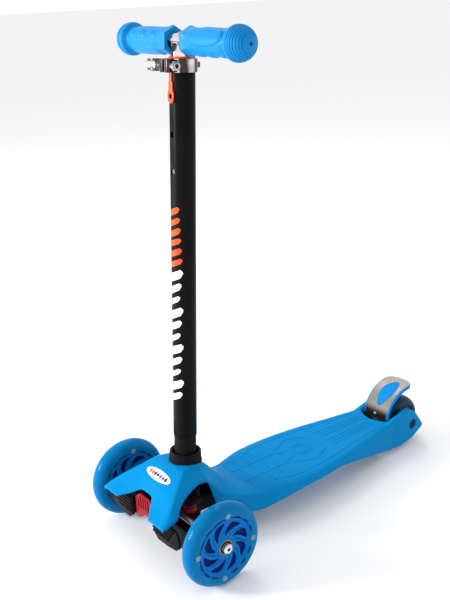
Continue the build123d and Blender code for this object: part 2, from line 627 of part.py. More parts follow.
def button_spring():
    """Leaf spring behind the snap button."""
    z = HOLES_Z[0]
    leaf = box(-3, 3, -6.6, -5.9, z - 8, z + 30) + box(-3, 3, 9.4, 10.1, z, z + 30)
    return leaf + box(-3, 3, -6.6, 10.1, z + 29.3, z + 30)


# ---- fasteners and pins of the deck ----
def lean_pivot_bolt():
    """Bolt that the front axle leans on."""
    return rod((0, -30, LEAN_Z), (0, 39, LEAN_Z), 4.0) + rod((0, 34, LEAN_Z), (0, 39, LEAN_Z), 7)


def drive_pin():
    """Pin from the chassis bridge into the middle of the tie rod."""
    return rod((0, -ARM, 79), (0, -ARM, 98), 3.0)


def pedal_pin():
    """Hinge pin of the release pedal."""
    return rod((-29, -38, 66), (29, -38, 66), 2.0)


def pedal_spring():
    """Coil that pushes the release pedal out."""
    return Location((17, -34.6, 80), (90, 0, 0)) * helix_coil(2.0, 1.16, 5, 0.4)


def deck_screws():
    """Four screws from the chassis tongue up into the deck bosses."""
    screws = []
    for x in (-10, 10):
        for y in (84, 108):
            top = 58 if y > 100 else 64
            screws.append(rod((x, y, 43), (x, y, top - 0.5), 2.0) + rod((x, y, 42.5), (x, y, 46), 4.2))
    return Compound(screws)


# ---- write every sub-part ----
def wheel_nodes(name, x, y, z, radius, width, inner, window, hub, count, leds):
    """All the pieces of one wheel by node name."""
    nodes = {
        f"{name}_tyre": tyre(x, y, z, radius, width, inner, leds),
        f"{name}_core": swirl_core(x, y, z, inner, width, window, hub, count),
        f"{name}_bearings": bearings(x, y, z, width),
    }
    if leds:
        nodes[f"{name}_lights"] = led_modules(x, y, z, inner)
    return nodes


def all_nodes():
    """Every sub-part in the nose frame, by node name."""
    nodes = {
        "deck": deck(),
        "badge": badge(),
        "steering_chassis": steering_chassis(),
        "column_socket": column_socket(),
        "front_skirt": front_skirt(),
        "release_pedal": release_pedal(),
        "pedal_pin": pedal_pin(),
        "pedal_spring": pedal_spring(),
        "lean_pivot_bolt": lean_pivot_bolt(),
        "drive_pin": drive_pin(),
        "deck_screws": deck_screws(),
        "brake_hinge_pin": brake_hinge_pin(),
        "brake_spring": brake_spring(),
        "rear_axle": rear_axle(),
        "rear_axle_nut": rear_axle_nut(),
        "rear_spacers": rear_spacers(),
        "front_beam": front_beam(),
        "tie_rod": tie_rod(),
        "brake_plate": brake_plate(),
        "brake_arm": brake_arm(),
        "brake_pad": brake_pad(),
        "brake_rivet": brake_rivet(),
    }
    for side, word in ((1, "left"), (-1, "right")):
        nodes[f"lean_elastomer_{word}"] = lean_elastomer(side)
        nodes[f"knuckle_{word}"] = knuckle(side)
        nodes[f"king_pin_{word}"] = king_pin(side)
        nodes[f"steering_arm_{word}"] = steering_arm(side)
        nodes[f"axle_bolt_{word}"] = front_axle_bolt(side)
        nodes[f"axle_spacer_{word}"] = axle_spacer(side)
        nodes.update(wheel_nodes(f"wheel_{word}", side * FRONT_X, 0, FRONT_R, FRONT_R, FRONT_W,
                                 42, 37.5, 13.5, 8, 4))
    nodes.update(wheel_nodes("rear_wheel", 0, WHEELBASE, REAR_R, REAR_R, REAR_W, 25, 22, 13.5, 6, 0))
    column = {
        "column_tube": column_tube(),
        "column_foot": column_foot(),
        "clamp_collar": clamp_collar(),
        "clamp_bolt": clamp_bolt(),
        "clamp_nut": clamp_nut(),
        "clamp_spacer": clamp_spacer(),
        "cam_seat": cam_seat(),
        "cam_pin": cam_pin(),
        "guide_sleeve": guide_sleeve(),
        "quick_release_lever": quick_release_lever(),
        "handlebar": handlebar(),
        "height_button": height_button(),
        "button_spring": button_spring(),
        "grip_left": grip(1),
        "grip_right": grip(-1),
    }
    for name, shape in column.items():
        nodes[name] = column_frame(shape)
    return nodes


os.makedirs("parts", exist_ok=True)
for node_name, node_shape in all_nodes().items():
    export_step(Pos(0, FRONT_AXLE_Y, 0) * node_shape, f"parts/{node_name}.step")
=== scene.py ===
import json
from math import atan2, cos, degrees, exp, hypot, pi, radians, sin, sqrt

import bmesh
import bpy
import numpy as np
from mathutils import Matrix, Vector
from mathutils.bvhtree import BVHTree

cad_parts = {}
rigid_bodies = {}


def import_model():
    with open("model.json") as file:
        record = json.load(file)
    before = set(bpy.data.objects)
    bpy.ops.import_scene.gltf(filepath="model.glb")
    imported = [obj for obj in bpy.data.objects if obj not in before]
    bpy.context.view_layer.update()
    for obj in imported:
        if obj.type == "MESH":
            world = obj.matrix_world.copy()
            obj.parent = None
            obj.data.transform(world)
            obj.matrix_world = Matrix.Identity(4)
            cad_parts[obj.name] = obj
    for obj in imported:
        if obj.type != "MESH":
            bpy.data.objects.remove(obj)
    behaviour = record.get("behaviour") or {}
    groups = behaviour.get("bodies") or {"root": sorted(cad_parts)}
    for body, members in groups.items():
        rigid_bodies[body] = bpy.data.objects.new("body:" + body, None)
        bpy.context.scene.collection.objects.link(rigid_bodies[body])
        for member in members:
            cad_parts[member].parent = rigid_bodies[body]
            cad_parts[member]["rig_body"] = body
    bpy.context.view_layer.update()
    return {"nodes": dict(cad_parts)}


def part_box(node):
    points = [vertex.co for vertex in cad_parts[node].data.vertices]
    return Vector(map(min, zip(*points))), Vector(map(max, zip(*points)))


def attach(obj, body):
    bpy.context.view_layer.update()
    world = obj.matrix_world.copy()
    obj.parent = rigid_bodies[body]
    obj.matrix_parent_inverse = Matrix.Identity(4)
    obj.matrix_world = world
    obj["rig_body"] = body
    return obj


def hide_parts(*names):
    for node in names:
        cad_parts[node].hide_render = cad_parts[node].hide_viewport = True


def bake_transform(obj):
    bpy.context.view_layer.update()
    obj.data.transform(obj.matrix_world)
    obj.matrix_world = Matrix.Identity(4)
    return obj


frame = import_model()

MM = 0.001


def centre(node):
    low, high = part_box(node)
    return (low + high) / 2


AXLE = centre("wheel_left_tyre")
NOSE_Y = AXLE.y / MM
FRONT_R = AXLE.z / MM
FRONT_X = AXLE.x / MM
REAR = centre("rear_wheel_tyre")
WHEELBASE = REAR.y / MM - NOSE_Y
REAR_R = REAR.z / MM
TILT = radians(3.2)
SOCKET_RIM = Vector((0.0, 29.9, 142.3))
BAR_AXIS_Z = 554.8
REAR_AXLE = (0, WHEELBASE, REAR_R)
WORD = {1: "left", -1: "right"}


def place(point):
    """Nose frame in millimetres to the row frame in metres."""
    return Vector((point[0] * MM, (point[1] + NOSE_Y) * MM, point[2] * MM))


def column_place(point):
    """Column frame in millimetres to the row frame in metres."""
    x, y, z = point
    return place((x, SOCKET_RIM.y + y * cos(TILT) + z * sin(TILT),
                  SOCKET_RIM.z - y * sin(TILT) + z * cos(TILT)))


def new_object(name, data):
    """Object added to the scene."""
    obj = bpy.data.objects.new(name, data)
    bpy.context.scene.collection.objects.link(obj)
    return obj


def link(tree, a, b):
    tree.links.new(a, b)


def shader_node(tree, kind, values=(), **settings):
    """New shader node with its settings and the constants on its sockets."""
    made = tree.nodes.new("ShaderNode" + kind)
    for key, value in settings.items():
        setattr(made, key, value)
    for key, value in dict(values).items():
        made.inputs[key].default_value = value
    return made


# ---------------------------------------------------------------- camera, light and floor
def add_camera():
    """The photograph's viewpoint."""
    eye = place((914.9, -585.9, 760.8))
    azimuth, pitch, roll = radians(52.7), radians(19.8), radians(-2.3)
    ahead = Vector((-sin(azimuth) * cos(pitch), cos(azimuth) * cos(pitch), -sin(pitch)))
    right = Vector((cos(azimuth), sin(azimuth), 0))
    up = right.cross(ahead)
    turned_right = right * cos(roll) + up * sin(roll)
    turned_up = up * cos(roll) - right * sin(roll)
    data = bpy.data.cameras.new("camera")
    data.lens = 52.78
    data.sensor_width = 36
    camera = new_object("camera", data)
    axes = Matrix((turned_right, turned_up, -ahead)).transposed()
    camera.matrix_world = Matrix.Translation(eye) @ axes.to_4x4()
    bpy.context.scene.camera = camera


def add_area(name, location, target, size, power):
    """Square lamp aimed at a point, in metres and watts."""
    data = bpy.data.lights.new(name, "AREA")
    data.size = size
    data.energy = power
    light = new_object(name, data)
    light.location = location
    light.rotation_euler = (Vector(target) - Vector(location)).to_track_quat("-Z", "Y").to_euler()


def add_studio():
    """Bright paper-white studio: a fading world, two lamps and a floor."""
    scene = bpy.context.scene
    scene.view_settings.view_transform = "Standard"
    world = bpy.data.worlds.new("studio")
    scene.world = world
    world.use_nodes = True
    background = world.node_tree.nodes["Background"]
    background.inputs["Color"].default_value = (1, 1, 1, 1)
    tree = world.node_tree
    coords = shader_node(tree, "TexCoord")
    split = shader_node(tree, "SeparateXYZ")
    fade = shader_node(tree, "MapRange", {"From Min": 0.06, "From Max": 0.5, "To Min": 1.12, "To Max": 0.94})
    link(tree, coords.outputs["Generated"], split.inputs["Vector"])
    link(tree, split.outputs["Z"], fade.inputs["Value"])
    link(tree, fade.outputs["Result"], background.inputs["Strength"])
    add_area("key", (-1.35, -2.3, 0.95), (0, 0, 0.15), 0.7, 84)
    add_area("top", (-1.2, 0.6, 2.4), (0, 0.3, 0), 0.9, 13)
    mesh = bpy.data.meshes.new("floor")
    reach = 30
    mesh.from_pydata([(-reach, -reach, 0), (reach, -reach, 0), (reach, reach, 0), (-reach, reach, 0)], [],
                     [(0, 1, 2, 3)])
    floor = new_object("floor", mesh)
    floor.location.z = -0.0002
    mesh.materials.append(surface("floor_paper", (0.93, 0.93, 0.94), rough=0.85, vary=0.01, grain=0.02))


# ---------------------------------------------------------------- materials
def surface(name, color, rough=0.35, metallic=0.0, coat=0.0, vary=0.06, vary_scale=18.0, rough_vary=0.08,
            grain=0.05, grain_scale=900.0, stretch=(1, 1, 1), scatter=0.0, scatter_color=None,
            alt=None, specular=0.16):
    """Procedural finish: drifting colour and roughness over a fine grain."""
    mat = bpy.data.materials.new(name)
    mat.use_nodes = True
    tree = mat.node_tree
    shader = tree.nodes["Principled BSDF"]
    coords = shader_node(tree, "TexCoord")
    mapping = shader_node(tree, "Mapping", {"Scale": stretch})
    link(tree, coords.outputs["Object"], mapping.inputs["Vector"])

    drift = shader_node(tree, "TexNoise", {"Scale": vary_scale, "Detail": 3})
    link(tree, mapping.outputs["Vector"], drift.inputs["Vector"])
    darker = tuple(c * (1 - vary) for c in color)
    other = alt if alt else tuple(min(1.0, c * (1 + vary) + vary * 0.02) for c in color)
    mix = shader_node(tree, "Mix", {"A": (*darker, 1), "B": (*other, 1)}, data_type="RGBA")
    link(tree, drift.outputs["Fac"], mix.inputs["Factor"])
    link(tree, mix.outputs["Result"], shader.inputs["Base Color"])

    low, high = max(0.02, rough - rough_vary), min(1.0, rough + rough_vary)
    span = shader_node(tree, "MapRange", {"To Min": low, "To Max": high})
    link(tree, drift.outputs["Fac"], span.inputs["Value"])
    link(tree, span.outputs["Result"], shader.inputs["Roughness"])

    fine = shader_node(tree, "TexNoise", {"Scale": grain_scale, "Detail": 4})
    link(tree, mapping.outputs["Vector"], fine.inputs["Vector"])
    bump = shader_node(tree, "Bump", {"Strength": grain, "Distance": 0.0004})
    link(tree, fine.outputs["Fac"], bump.inputs["Height"])
    link(tree, bump.outputs["Normal"], shader.inputs["Normal"])

    sockets = {"Metallic": metallic, "Coat Weight": coat, "Coat Roughness": 0.08,
               "Specular IOR Level": specular, "Subsurface Weight": scatter}
    for key, value in sockets.items():
        shader.inputs[key].default_value = value
    if scatter:
        shader.inputs["Subsurface Radius"].default_value = scatter_color or (0.2, 0.6, 1.0)
        shader.inputs["Subsurface Scale"].default_value = 0.004
    return mat


def make_materials():
    blue = (0.001, 0.2, 0.48)
    return {
        "deck": surface("deck_blue", blue, rough=0.38, grain=0.1, grain_scale=1400, specular=0.02),
        "grip": surface("grip_blue", (0.001, 0.21, 0.54), rough=0.42, vary=0.04, grain=0.1,
            grain_scale=2200, specular=0.12),
        "brake_blue": surface("brake_blue", (0.0008, 0.2, 0.56), rough=0.32, vary=0.05, grain=0.06,
            specular=0.04),
        "tyre": surface("tyre_blue", (0.0003, 0.13, 0.34), rough=0.2, vary=0.12, vary_scale=12, grain=0.02,
            scatter=0.1, coat=0.07, alt=(0.0005, 0.19, 0.46), specular=0.03),
        "rear_tyre": surface("rear_tyre_blue", (0.0005, 0.032, 0.06), rough=0.25, vary=0.1, grain=0.02,
            coat=0.08, specular=0.1, alt=(0.0005, 0.05, 0.09)),
        "core": surface("core_blue", (0.0005, 0.135, 0.46), rough=0.3, vary=0.1, specular=0.05),
        # Lighter blue for the front wheels' window rims: a painted highlight.
        "core_rim_highlight": surface("core_edge_blue", (0.0008, 0.19, 0.64), rough=0.3, vary=0.05, grain=0.03,
            specular=0.05),
        # Near-black blue for the wheel webs behind the windows: painted shade in the recesses; it also
        # colours the dashes near the rim.
        "core_dark": surface("core_dark", (0.0005, 0.01, 0.105), rough=0.4, vary=0.2, grain=0.05,
            specular=0.05),
        "black": surface("black_plastic", (0.0045, 0.0045, 0.005), rough=0.42, vary=0.25, grain=0.2,
            grain_scale=1600, specular=0.05),
        "coat": surface("black_powder_coat", (0.0036, 0.0036, 0.0038), rough=0.33, vary=0.2, grain=0.16,
            grain_scale=1900, specular=0.05),
        "orange": surface("orange_plastic", (0.88, 0.085, 0.016), rough=0.33, grain=0.06,
            scatter=0.05, scatter_color=(1.0, 0.3, 0.1)),
        "red": surface("red_plastic", (0.26, 0.01, 0.016), rough=0.36, vary=0.08, grain=0.08,
            specular=0.06),
        "red_rubber": surface("red_rubber", (0.3, 0.007, 0.016), rough=0.45, vary=0.1, grain=0.12),
        "white": surface("white_print", (0.88, 0.88, 0.88), rough=0.4, vary=0.02, grain=0.02),
        "zinc": surface("zinc_plate", (0.34, 0.33, 0.33), rough=0.34, metallic=1.0, vary=0.2, vary_scale=90,
            grain=0.1, grain_scale=1500, alt=(0.52, 0.5, 0.5)),
        # polished_metal, chrome_stem and chrome_bar carry painted reflections as bands in their base colour.
        "polished": chrome("polished_metal", "X", 30.0, 0.3, 3.0),
        # Dark metal mottled towards a warm grey; on the height button it is painted shade.
        "dark_mottled": surface("dark_mottled_metal", (0.035, 0.029, 0.027), rough=0.4, metallic=0.9, vary=0.1,
            vary_scale=90, grain=0.1, alt=(0.22, 0.19, 0.17)),
        "bolt": surface("bolt_head", (0.6, 0.61, 0.62), rough=0.2, metallic=1.0, vary=0.1, vary_scale=90,
            grain=0.05, alt=(0.85, 0.85, 0.86)),
        "chrome_stem": chrome("chrome_stem", "X", 17.0),
        "chrome_bar": chrome("chrome_bar", "Z", 15.0),
        "steel": surface("bearing_steel", (0.45, 0.41, 0.35), rough=0.25, metallic=1.0, vary=0.1,
            vary_scale=120, grain=0.05),
        "spring": surface("spring_steel", (0.3, 0.3, 0.32), rough=0.3, metallic=1.0, vary=0.1, grain=0.08),
        "brass": surface("brass_ring", (0.26, 0.19, 0.08), rough=0.28, metallic=1.0, vary=0.15,
            vary_scale=200, grain=0.05),
        "light": surface("light_module", (0.1, 0.24, 0.36), rough=0.2, vary=0.3, vary_scale=420, grain=0.1,
            coat=0.1, specular=0.1, alt=(0.22, 0.36, 0.48)),
        "brushed": brushed_steel(),
        "dark_steel": surface("dark_socket", (0.008, 0.012, 0.014), rough=0.35, metallic=0.3, vary=0.2,
            grain=0.1),
        "magenta": surface("magenta_print", (0.45, 0.01, 0.16), rough=0.4, vary=0.03, grain=0.02),
        "ink": surface("dark_print", (0.02, 0.02, 0.025), rough=0.4, vary=0.05, grain=0.02),
        "sky_print": surface("sky_print", (0.01, 0.2, 0.6), rough=0.4, vary=0.03, grain=0.02),
    }


def chrome(name, across, scale, rough=0.1, phase=0.0):
    """Bright chrome with painted reflections: dark and bright bands that run along a tube."""
    mat = surface(name, (0.07, 0.05, 0.045), rough=rough, metallic=1.0, vary=0.1, vary_scale=34,
                  rough_vary=0.04, grain=0.015, alt=(0.8, 0.74, 0.71))
    tree = mat.node_tree
    waves = {"Scale": scale, "Distortion": 1.4, "Detail": 1, "Phase Offset": phase}
    # Painted reflection: a wave pattern in the object's own coordinates sets the base colour between the
    # dark and the bright chrome colours.
    painted_reflection_bands = shader_node(tree, "TexWave", waves, bands_direction=across)
    link(tree, tree.nodes["Mapping"].outputs["Vector"], painted_reflection_bands.inputs["Vector"])
    reflection_contrast = shader_node(tree, "MapRange", {"From Min": 0.35, "From Max": 0.75})
    link(tree, painted_reflection_bands.outputs["Fac"], reflection_contrast.inputs["Value"])
    link(tree, reflection_contrast.outputs["Result"], tree.nodes["Mix"].inputs["Factor"])
    return mat


def brushed_steel():
    """Warm brushed steel with painted shade: darker where the plate leaves the deck."""
    mat = surface("brushed_steel", (0.44, 0.36, 0.28), rough=0.46, metallic=0.55, vary=0.15, vary_scale=60,
                  grain=0.35, grain_scale=60, stretch=(3, 26, 26), alt=(0.86, 0.78, 0.68), specular=0.1)
    tree = mat.node_tree
    shader = tree.nodes["Principled BSDF"]
    position = shader_node(tree, "TexCoord")
    split = shader_node(tree, "SeparateXYZ")
    link(tree, position.outputs["Object"], split.inputs["Vector"])
    # Painted shade: by height, the base colour fades to near-black towards the bottom of the plate.
    height = shader_node(tree, "MapRange", {"From Min": 0.066, "From Max": 0.128})
    link(tree, split.outputs["Z"], height.inputs["Value"])
    painted_shade_mix = shader_node(tree, "Mix", {"A": (0.012, 0.009, 0.008, 1)}, data_type="RGBA")
    link(tree, height.outputs["Result"], painted_shade_mix.inputs["Factor"])
    link(tree, shader.inputs["Base Color"].links[0].from_socket, painted_shade_mix.inputs["B"])
    link(tree, painted_shade_mix.outputs["Result"], shader.inputs["Base Color"])
    return mat


# ---------------------------------------------------------------- mesh tools
def sharpen(mesh, angle=34):
    """Smooth shading with creases at sharp edges."""
    bm = bmesh.new()
    bm.from_mesh(mesh)
    limit = radians(angle)
    for face in bm.faces:
        face.smooth = True
    for edge in bm.edges:
        edge.smooth = len(edge.link_faces) == 2 and edge.calc_face_angle(0) < limit
    bm.to_mesh(mesh)
    bm.free()


def mesh_object(name, points, faces, mapper=place):
    """Object from millimetre points, with its normals outward."""
    mesh = bpy.data.meshes.new(name)
    mesh.from_pydata([mapper(p) for p in points], [], faces)
    bm = bmesh.new()
    bm.from_mesh(mesh)
    bmesh.ops.remove_doubles(bm, verts=bm.verts, dist=1e-7)
    bmesh.ops.recalc_face_normals(bm, faces=bm.faces)
    bm.to_mesh(mesh)
    bm.free()
    return new_object(name, mesh)


def settle(obj):
    """Apply every modifier."""
    graph = bpy.context.evaluated_depsgraph_get()
    mesh = bpy.data.meshes.new_from_object(obj.evaluated_get(graph))
    obj.modifiers.clear()
    old = obj.data
    obj.data = mesh
    bpy.data.meshes.remove(old)
    return obj


def skin(obj, material, replaces=(), angle=34):
    """Give a finished piece its material and shading, and hide the nodes it stands for."""
    obj.data.materials.clear()
    obj.data.materials.append(MATERIAL[material])
    sharpen(obj.data, angle)
    if replaces:
        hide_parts(*replaces)


def dress(obj, body, material, replaces=(), angle=34):
    """Finish a piece and fix it to its body."""
    skin(obj, material, replaces, angle)
    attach(obj, body)
    return obj


def grid_faces(rows, columns, wrap_rows=False, wrap_columns=True):
    """Quads of a rows-by-columns grid of points."""
    faces = []
    for i in range(rows if wrap_rows else rows - 1):
        for j in range(columns if wrap_columns else columns - 1):
            k, m = (i + 1) % rows, (j + 1) % columns
            faces.append((i * columns + j, i * columns + m, k * columns + m, k * columns + j))
    return faces


def plate_faces(rows, columns):
    """Faces of a closed plate: an upper grid, a lower grid after it, and the border between them."""
    size = rows * columns
    upper = grid_faces(rows, columns, wrap_columns=False)
    faces = upper + [tuple(size + k for k in reversed(f)) for f in upper]
    border = [i * columns for i in range(rows)]
    border += [(rows - 1) * columns + j for j in range(1, columns)]
    border += [i * columns + columns - 1 for i in range(rows - 2, -1, -1)]
    border += list(range(columns - 2, 0, -1))
    faces += [(a, b, size + b, size + a) for a, b in zip(border, border[1:] + border[:1])]
    return faces


def revolve(name, profile, steps, mapper, axis="x", origin=(0, 0, 0)):
    """Turned piece from (along, radius) points of a closed half-section."""
    points = []
    for k in range(steps):
        a = 2 * pi * k / steps
        for along, r in profile:
            ring = {"x": (along, r * cos(a), r * sin(a)), "z": (r * cos(a), r * sin(a), along),
                    "y": (r * cos(a), along, r * sin(a))}[axis]
            points.append(tuple(o + c for o, c in zip(origin, ring)))
    return mesh_object(name, points, grid_faces(steps, len(profile), wrap_rows=True), mapper)


def rod_section(low, high, radius, core=0.001):
    """Half-section of a straight bar, or of a tube with a core radius."""
    return [(low, core), (low, radius), (high, radius), (high, core)]


def prism(name, outline, low, high, mapper):
    """Straight prism; the mapper turns (u, v, w) into place, w from low to high."""
    n = len(outline)
    points = [(u, v, low) for u, v in outline] + [(u, v, high) for u, v in outline]
    faces = [tuple(range(n)), tuple(range(2 * n - 1, n - 1, -1))]
    faces += [(i, (i + 1) % n, n + (i + 1) % n, n + i) for i in range(n)]
    return mesh_object(name, points, faces, mapper)


def side_map(point):
    """(y, z, x) order to the nose frame."""
    return place((point[2], point[0], point[1]))


def front_map(point):
    """(x, z, y) order to the nose frame."""
    return place((point[0], point[2], point[1]))


def join(objects):
    """One object from several, without touching the others' order."""
    bm = bmesh.new()
    for obj in objects:
        bm.from_mesh(obj.data)
    mesh = bpy.data.meshes.new(objects[0].name)
    bm.to_mesh(mesh)
    bm.free()
    first = objects[0]
    old = first.data
    first.data = mesh
    bpy.data.meshes.remove(old)
    for obj in objects[1:]:
        bpy.data.objects.remove(obj)
    return first


def carve(obj, cutters, operation="DIFFERENCE"):
    """Exact boolean with several cutters, which are used up."""
    for cutter in cutters:
        step = obj.modifiers.new("carve", "BOOLEAN")
        step.operation = operation
        step.solver = "EXACT"
        step.object = cutter
    settle(obj)
    for cutter in cutters:
        bpy.data.objects.remove(cutter)
    return obj


def bevel(obj, width, segments=2, angle=32):
    """Round the sharp edges."""
    step = obj.modifiers.new("bevel", "BEVEL")
    step.width = width * MM
    step.segments = segments
    step.limit_method = "ANGLE"
    step.angle_limit = radians(angle)
    step.use_clamp_overlap = True
    return settle(obj)


def remesh(obj, voxel, smooth):
    """Fuse overlapping solids into one moulding with softened edges."""
    step = obj.modifiers.new("fuse", "REMESH")
    step.mode = "VOXEL"
    step.voxel_size = voxel * MM
    step.use_smooth_shade = True
    soft = obj.modifiers.new("soften", "SMOOTH")
    soft.factor = 0.5
    soft.iterations = smooth
    return settle(obj)


def rounded_copy(node, material, width):
    """CAD node with its edges rounded off."""
    source = frame["nodes"][node]
    mesh = source.data.copy()
    bm = bmesh.new()
    bm.from_mesh(mesh)
    bmesh.ops.remove_doubles(bm, verts=bm.verts, dist=2e-6)
    bmesh.ops.dissolve_limit(bm, angle_limit=radians(1.5), verts=bm.verts, edges=bm.edges)
    for face in bm.faces:
        face.smooth = True
    bm.to_mesh(mesh)
    bm.free()
    obj = new_object(node + "_moulded", mesh)
    bevel(obj, width)
    dress(obj, source["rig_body"], material, (node,))


def corner_curve(a, b, c, radius, share, steps):
    """Points round the corner b; the curve uses at most a share of each side."""
    a, b, c = Vector(a), Vector(b), Vector(c)
    back, on = a - b, c - b
    reach = min(radius, share * back.length, share * on.length)
    start, end = b + back.normalized() * reach, b + on.normalized() * reach
    ts = [k / steps for k in range(steps + 1)]
    return [start * (1 - t) ** 2 + b * (2 * t * (1 - t)) + end * t ** 2 for t in ts]


def rounded_path(points, radius, steps=6):
    """Open polyline with its corners turned into curves."""
    path = [Vector(points[0])]
    for a, b, c in zip(points, points[1:], points[2:]):
        path += corner_curve(a, b, c, radius, 0.46, steps)
    path.append(Vector(points[-1]))
    return path


def rounded_loop(points, radius, steps=5):
    """Closed outline with its corners turned into curves."""
    n = len(points)
    loop = []
    for k in range(n):
        a, b, c = (points[(k + d) % n] for d in (-1, 0, 1))
        loop += [tuple(p) for p in corner_curve(a, b, c, radius, 0.48, steps)]
    return loop


def bead(name, path, radius, mapper, closed=False, sides=8, flatten=1.0):
    """Round bead along a list of points, all in one plane or on a surface."""
    points = [Vector(p) for p in path]
    count = len(points)
    rings = []
    for k, p in enumerate(points):
        before = points[(k - 1) % count] if closed or k else p
        after = points[(k + 1) % count] if closed or k < count - 1 else p
        along = (after - before).normalized()
        side = along.cross(Vector((0, 0, 1)))
        if side.length < 0.2:
            side = along.cross(Vector((1, 0, 0)))
        side.normalize()
        up = side.cross(along).normalized()
        for j in range(sides):
            a = 2 * pi * j / sides
            rings.append(p + side * (radius * cos(a)) + up * (radius * flatten * sin(a)))
    faces = grid_faces(count, sides, wrap_rows=closed)
    if not closed:
        faces += [tuple(range(sides)), tuple(range(count * sides - 1, (count - 1) * sides - 1, -1))]
    return mesh_object(name, rings, faces, mapper)


# ---------------------------------------------------------------- deck moulding
# y, crown height, shoulder half-width and height, edge half-width and height, lower rim height
STATIONS = [
    (-64.5, 88, 70, 88.5, 75, 87, 84.5),
    (-50, 93, 66, 97.5, 74.5, 92, 87),
    (-39, 101, 60, 105, 72.5, 94, 89),
    (-25, 115, 50, 113.5, 63, 104, 100),
    (-11, 124, 40, 122, 56.5, 110, 106),
    (4, 129.5, 31, 129, 52.5, 115, 111),
    (15, 131, 26, 130, 51, 117, 113.5),
    (29, 130.5, 24, 129, 50, 115, 111),
    (44, 125, 23, 124.5, 49.5, 100, 72),
    (60, 109, 23, 108, 50, 80, 49),
    (75, 92, 25, 91, 51, 70, 42),
    (90, 77, 28, 76, 52, 65, 37),
    (105, 66, 32, 65.5, 53, 61, 32),
    (125, 60, 40, 60, 55.5, 57.5, 29.5),
    (150, 60, 55, 60, 63, 57, 36),
    (180, 60, 61, 60, 69, 57.5, 43),
    (210, 60, 62, 60, 70, 57.5, 45),
    (240, 60, 61, 60, 69, 57.5, 46),
    (270, 60, 58, 60, 66, 57.5, 46),
    (300, 60, 54.5, 60, 62, 57.5, 41),
    (330, 60, 49.5, 60, 57, 57, 34),
    (360, 60, 44, 60, 51, 57, 26),
    (390, 60, 39, 60, 46, 57, 19),
    (421, 60, 34, 60, 40, 57.5, 10),
]
WALL = 3.0
DECK_TOP = 60
CROSS_RIB_YS = range(135, 411, 30)
LONG_RIB_XS = (-28, 0, 28)
RIB_TOP = 58
WELL_Y = 418.8
DECK_END_Y = 421.0
NOTCH = [(-43, -68), (43, -68), (13, -39), (-13, -39)]
FORK_OUTLINE = [(408, 14), (442, 8), (476, 13), (504, 29), (481, 61), (459, 74), (440, 67), (408, 59)]
SLOT_BOW = [(30, 440), (30, 419), (26, 415.5), (12, 409), (0, 406.5), (-12, 409), (-26, 415.5),
            (-30, 419), (-30, 440)]


def smooth_table(rows, query):
    """Monotone cubic through the rows, column by column."""
    table = np.array(rows, float)
    x, values = table[:, 0], table[:, 1:]
    step = np.diff(x)[:, None]
    slope = np.diff(values, axis=0) / step
    tangent = np.zeros_like(values)
    same = slope[:-1] * slope[1:] > 0
    weight_a, weight_b = 2 * step[1:] + step[:-1], step[1:] + 2 * step[:-1]
    with np.errstate(divide="ignore", invalid="ignore"):
        harmonic = (weight_a + weight_b) / (weight_a / slope[:-1] + weight_b / slope[1:])
    tangent[1:-1] = np.where(same, harmonic, 0)
    tangent[0], tangent[-1] = slope[0], slope[-1]
    out = []
    for q in query:
        i = int(np.clip(np.searchsorted(x, q) - 1, 0, len(x) - 2))
        h = x[i + 1] - x[i]
        t = (q - x[i]) / h
        out.append(values[i] * (1 + 2 * t) * (1 - t) ** 2 + tangent[i] * h * t * (1 - t) ** 2
                   + values[i + 1] * t * t * (3 - 2 * t) + tangent[i + 1] * h * t * t * (t - 1))
    return np.array(out)


def section_ring(y, row):
    """Closed ring of the moulding's wall at one station."""
    crown, xs, zs, xe, ze, rim = row
    nose = 1 / (1 + exp((y - 105) / 12))
    soft_shoulder = 9 * nose + 4 * (1 - nose)
    soft_edge = 5.5 * nose + 3.2 * (1 - nose)
    outer = [(0, crown), (xs, zs), (xe, ze), (xe, rim)]
    inner = [(0, crown - WALL), (xs - 0.9, zs - WALL), (xe - WALL, ze - 0.8 * WALL), (xe - WALL, rim)]
    halves = []
    for pts, cut in ((outer, 0.0), (inner, 1.5)):
        a, b = (Vector((*p, 0)) for p in (pts[0], pts[1]))
        fine = [a.lerp(b, k / 8) for k in range(8)]
        corner = rounded_path([fine[-1], b, (*pts[2], 0)], max(1.0, soft_shoulder - cut), 6)[1:-1]
        edge = rounded_path([b, (*pts[2], 0), (*pts[3], 0)], max(0.8, soft_edge - cut), 6)[1:-1]
        face = [corner[-1].lerp(edge[0], k / 5) for k in range(1, 5)]
        wall = [edge[-1].lerp(Vector((*pts[3], 0)), k / 4) for k in range(1, 5)]
        halves.append([(p.x, p.y) for p in fine + corner + face + edge + wall])
    out_half, in_half = halves
    ring = [(x, y, z) for x, z in reversed(out_half)]
    ring += [(-x, y, z) for x, z in out_half[1:]]
    ring += [(-x, y, z) for x, z in reversed(in_half)]
    ring += [(x, y, z) for x, z in in_half[1:]]
    return ring


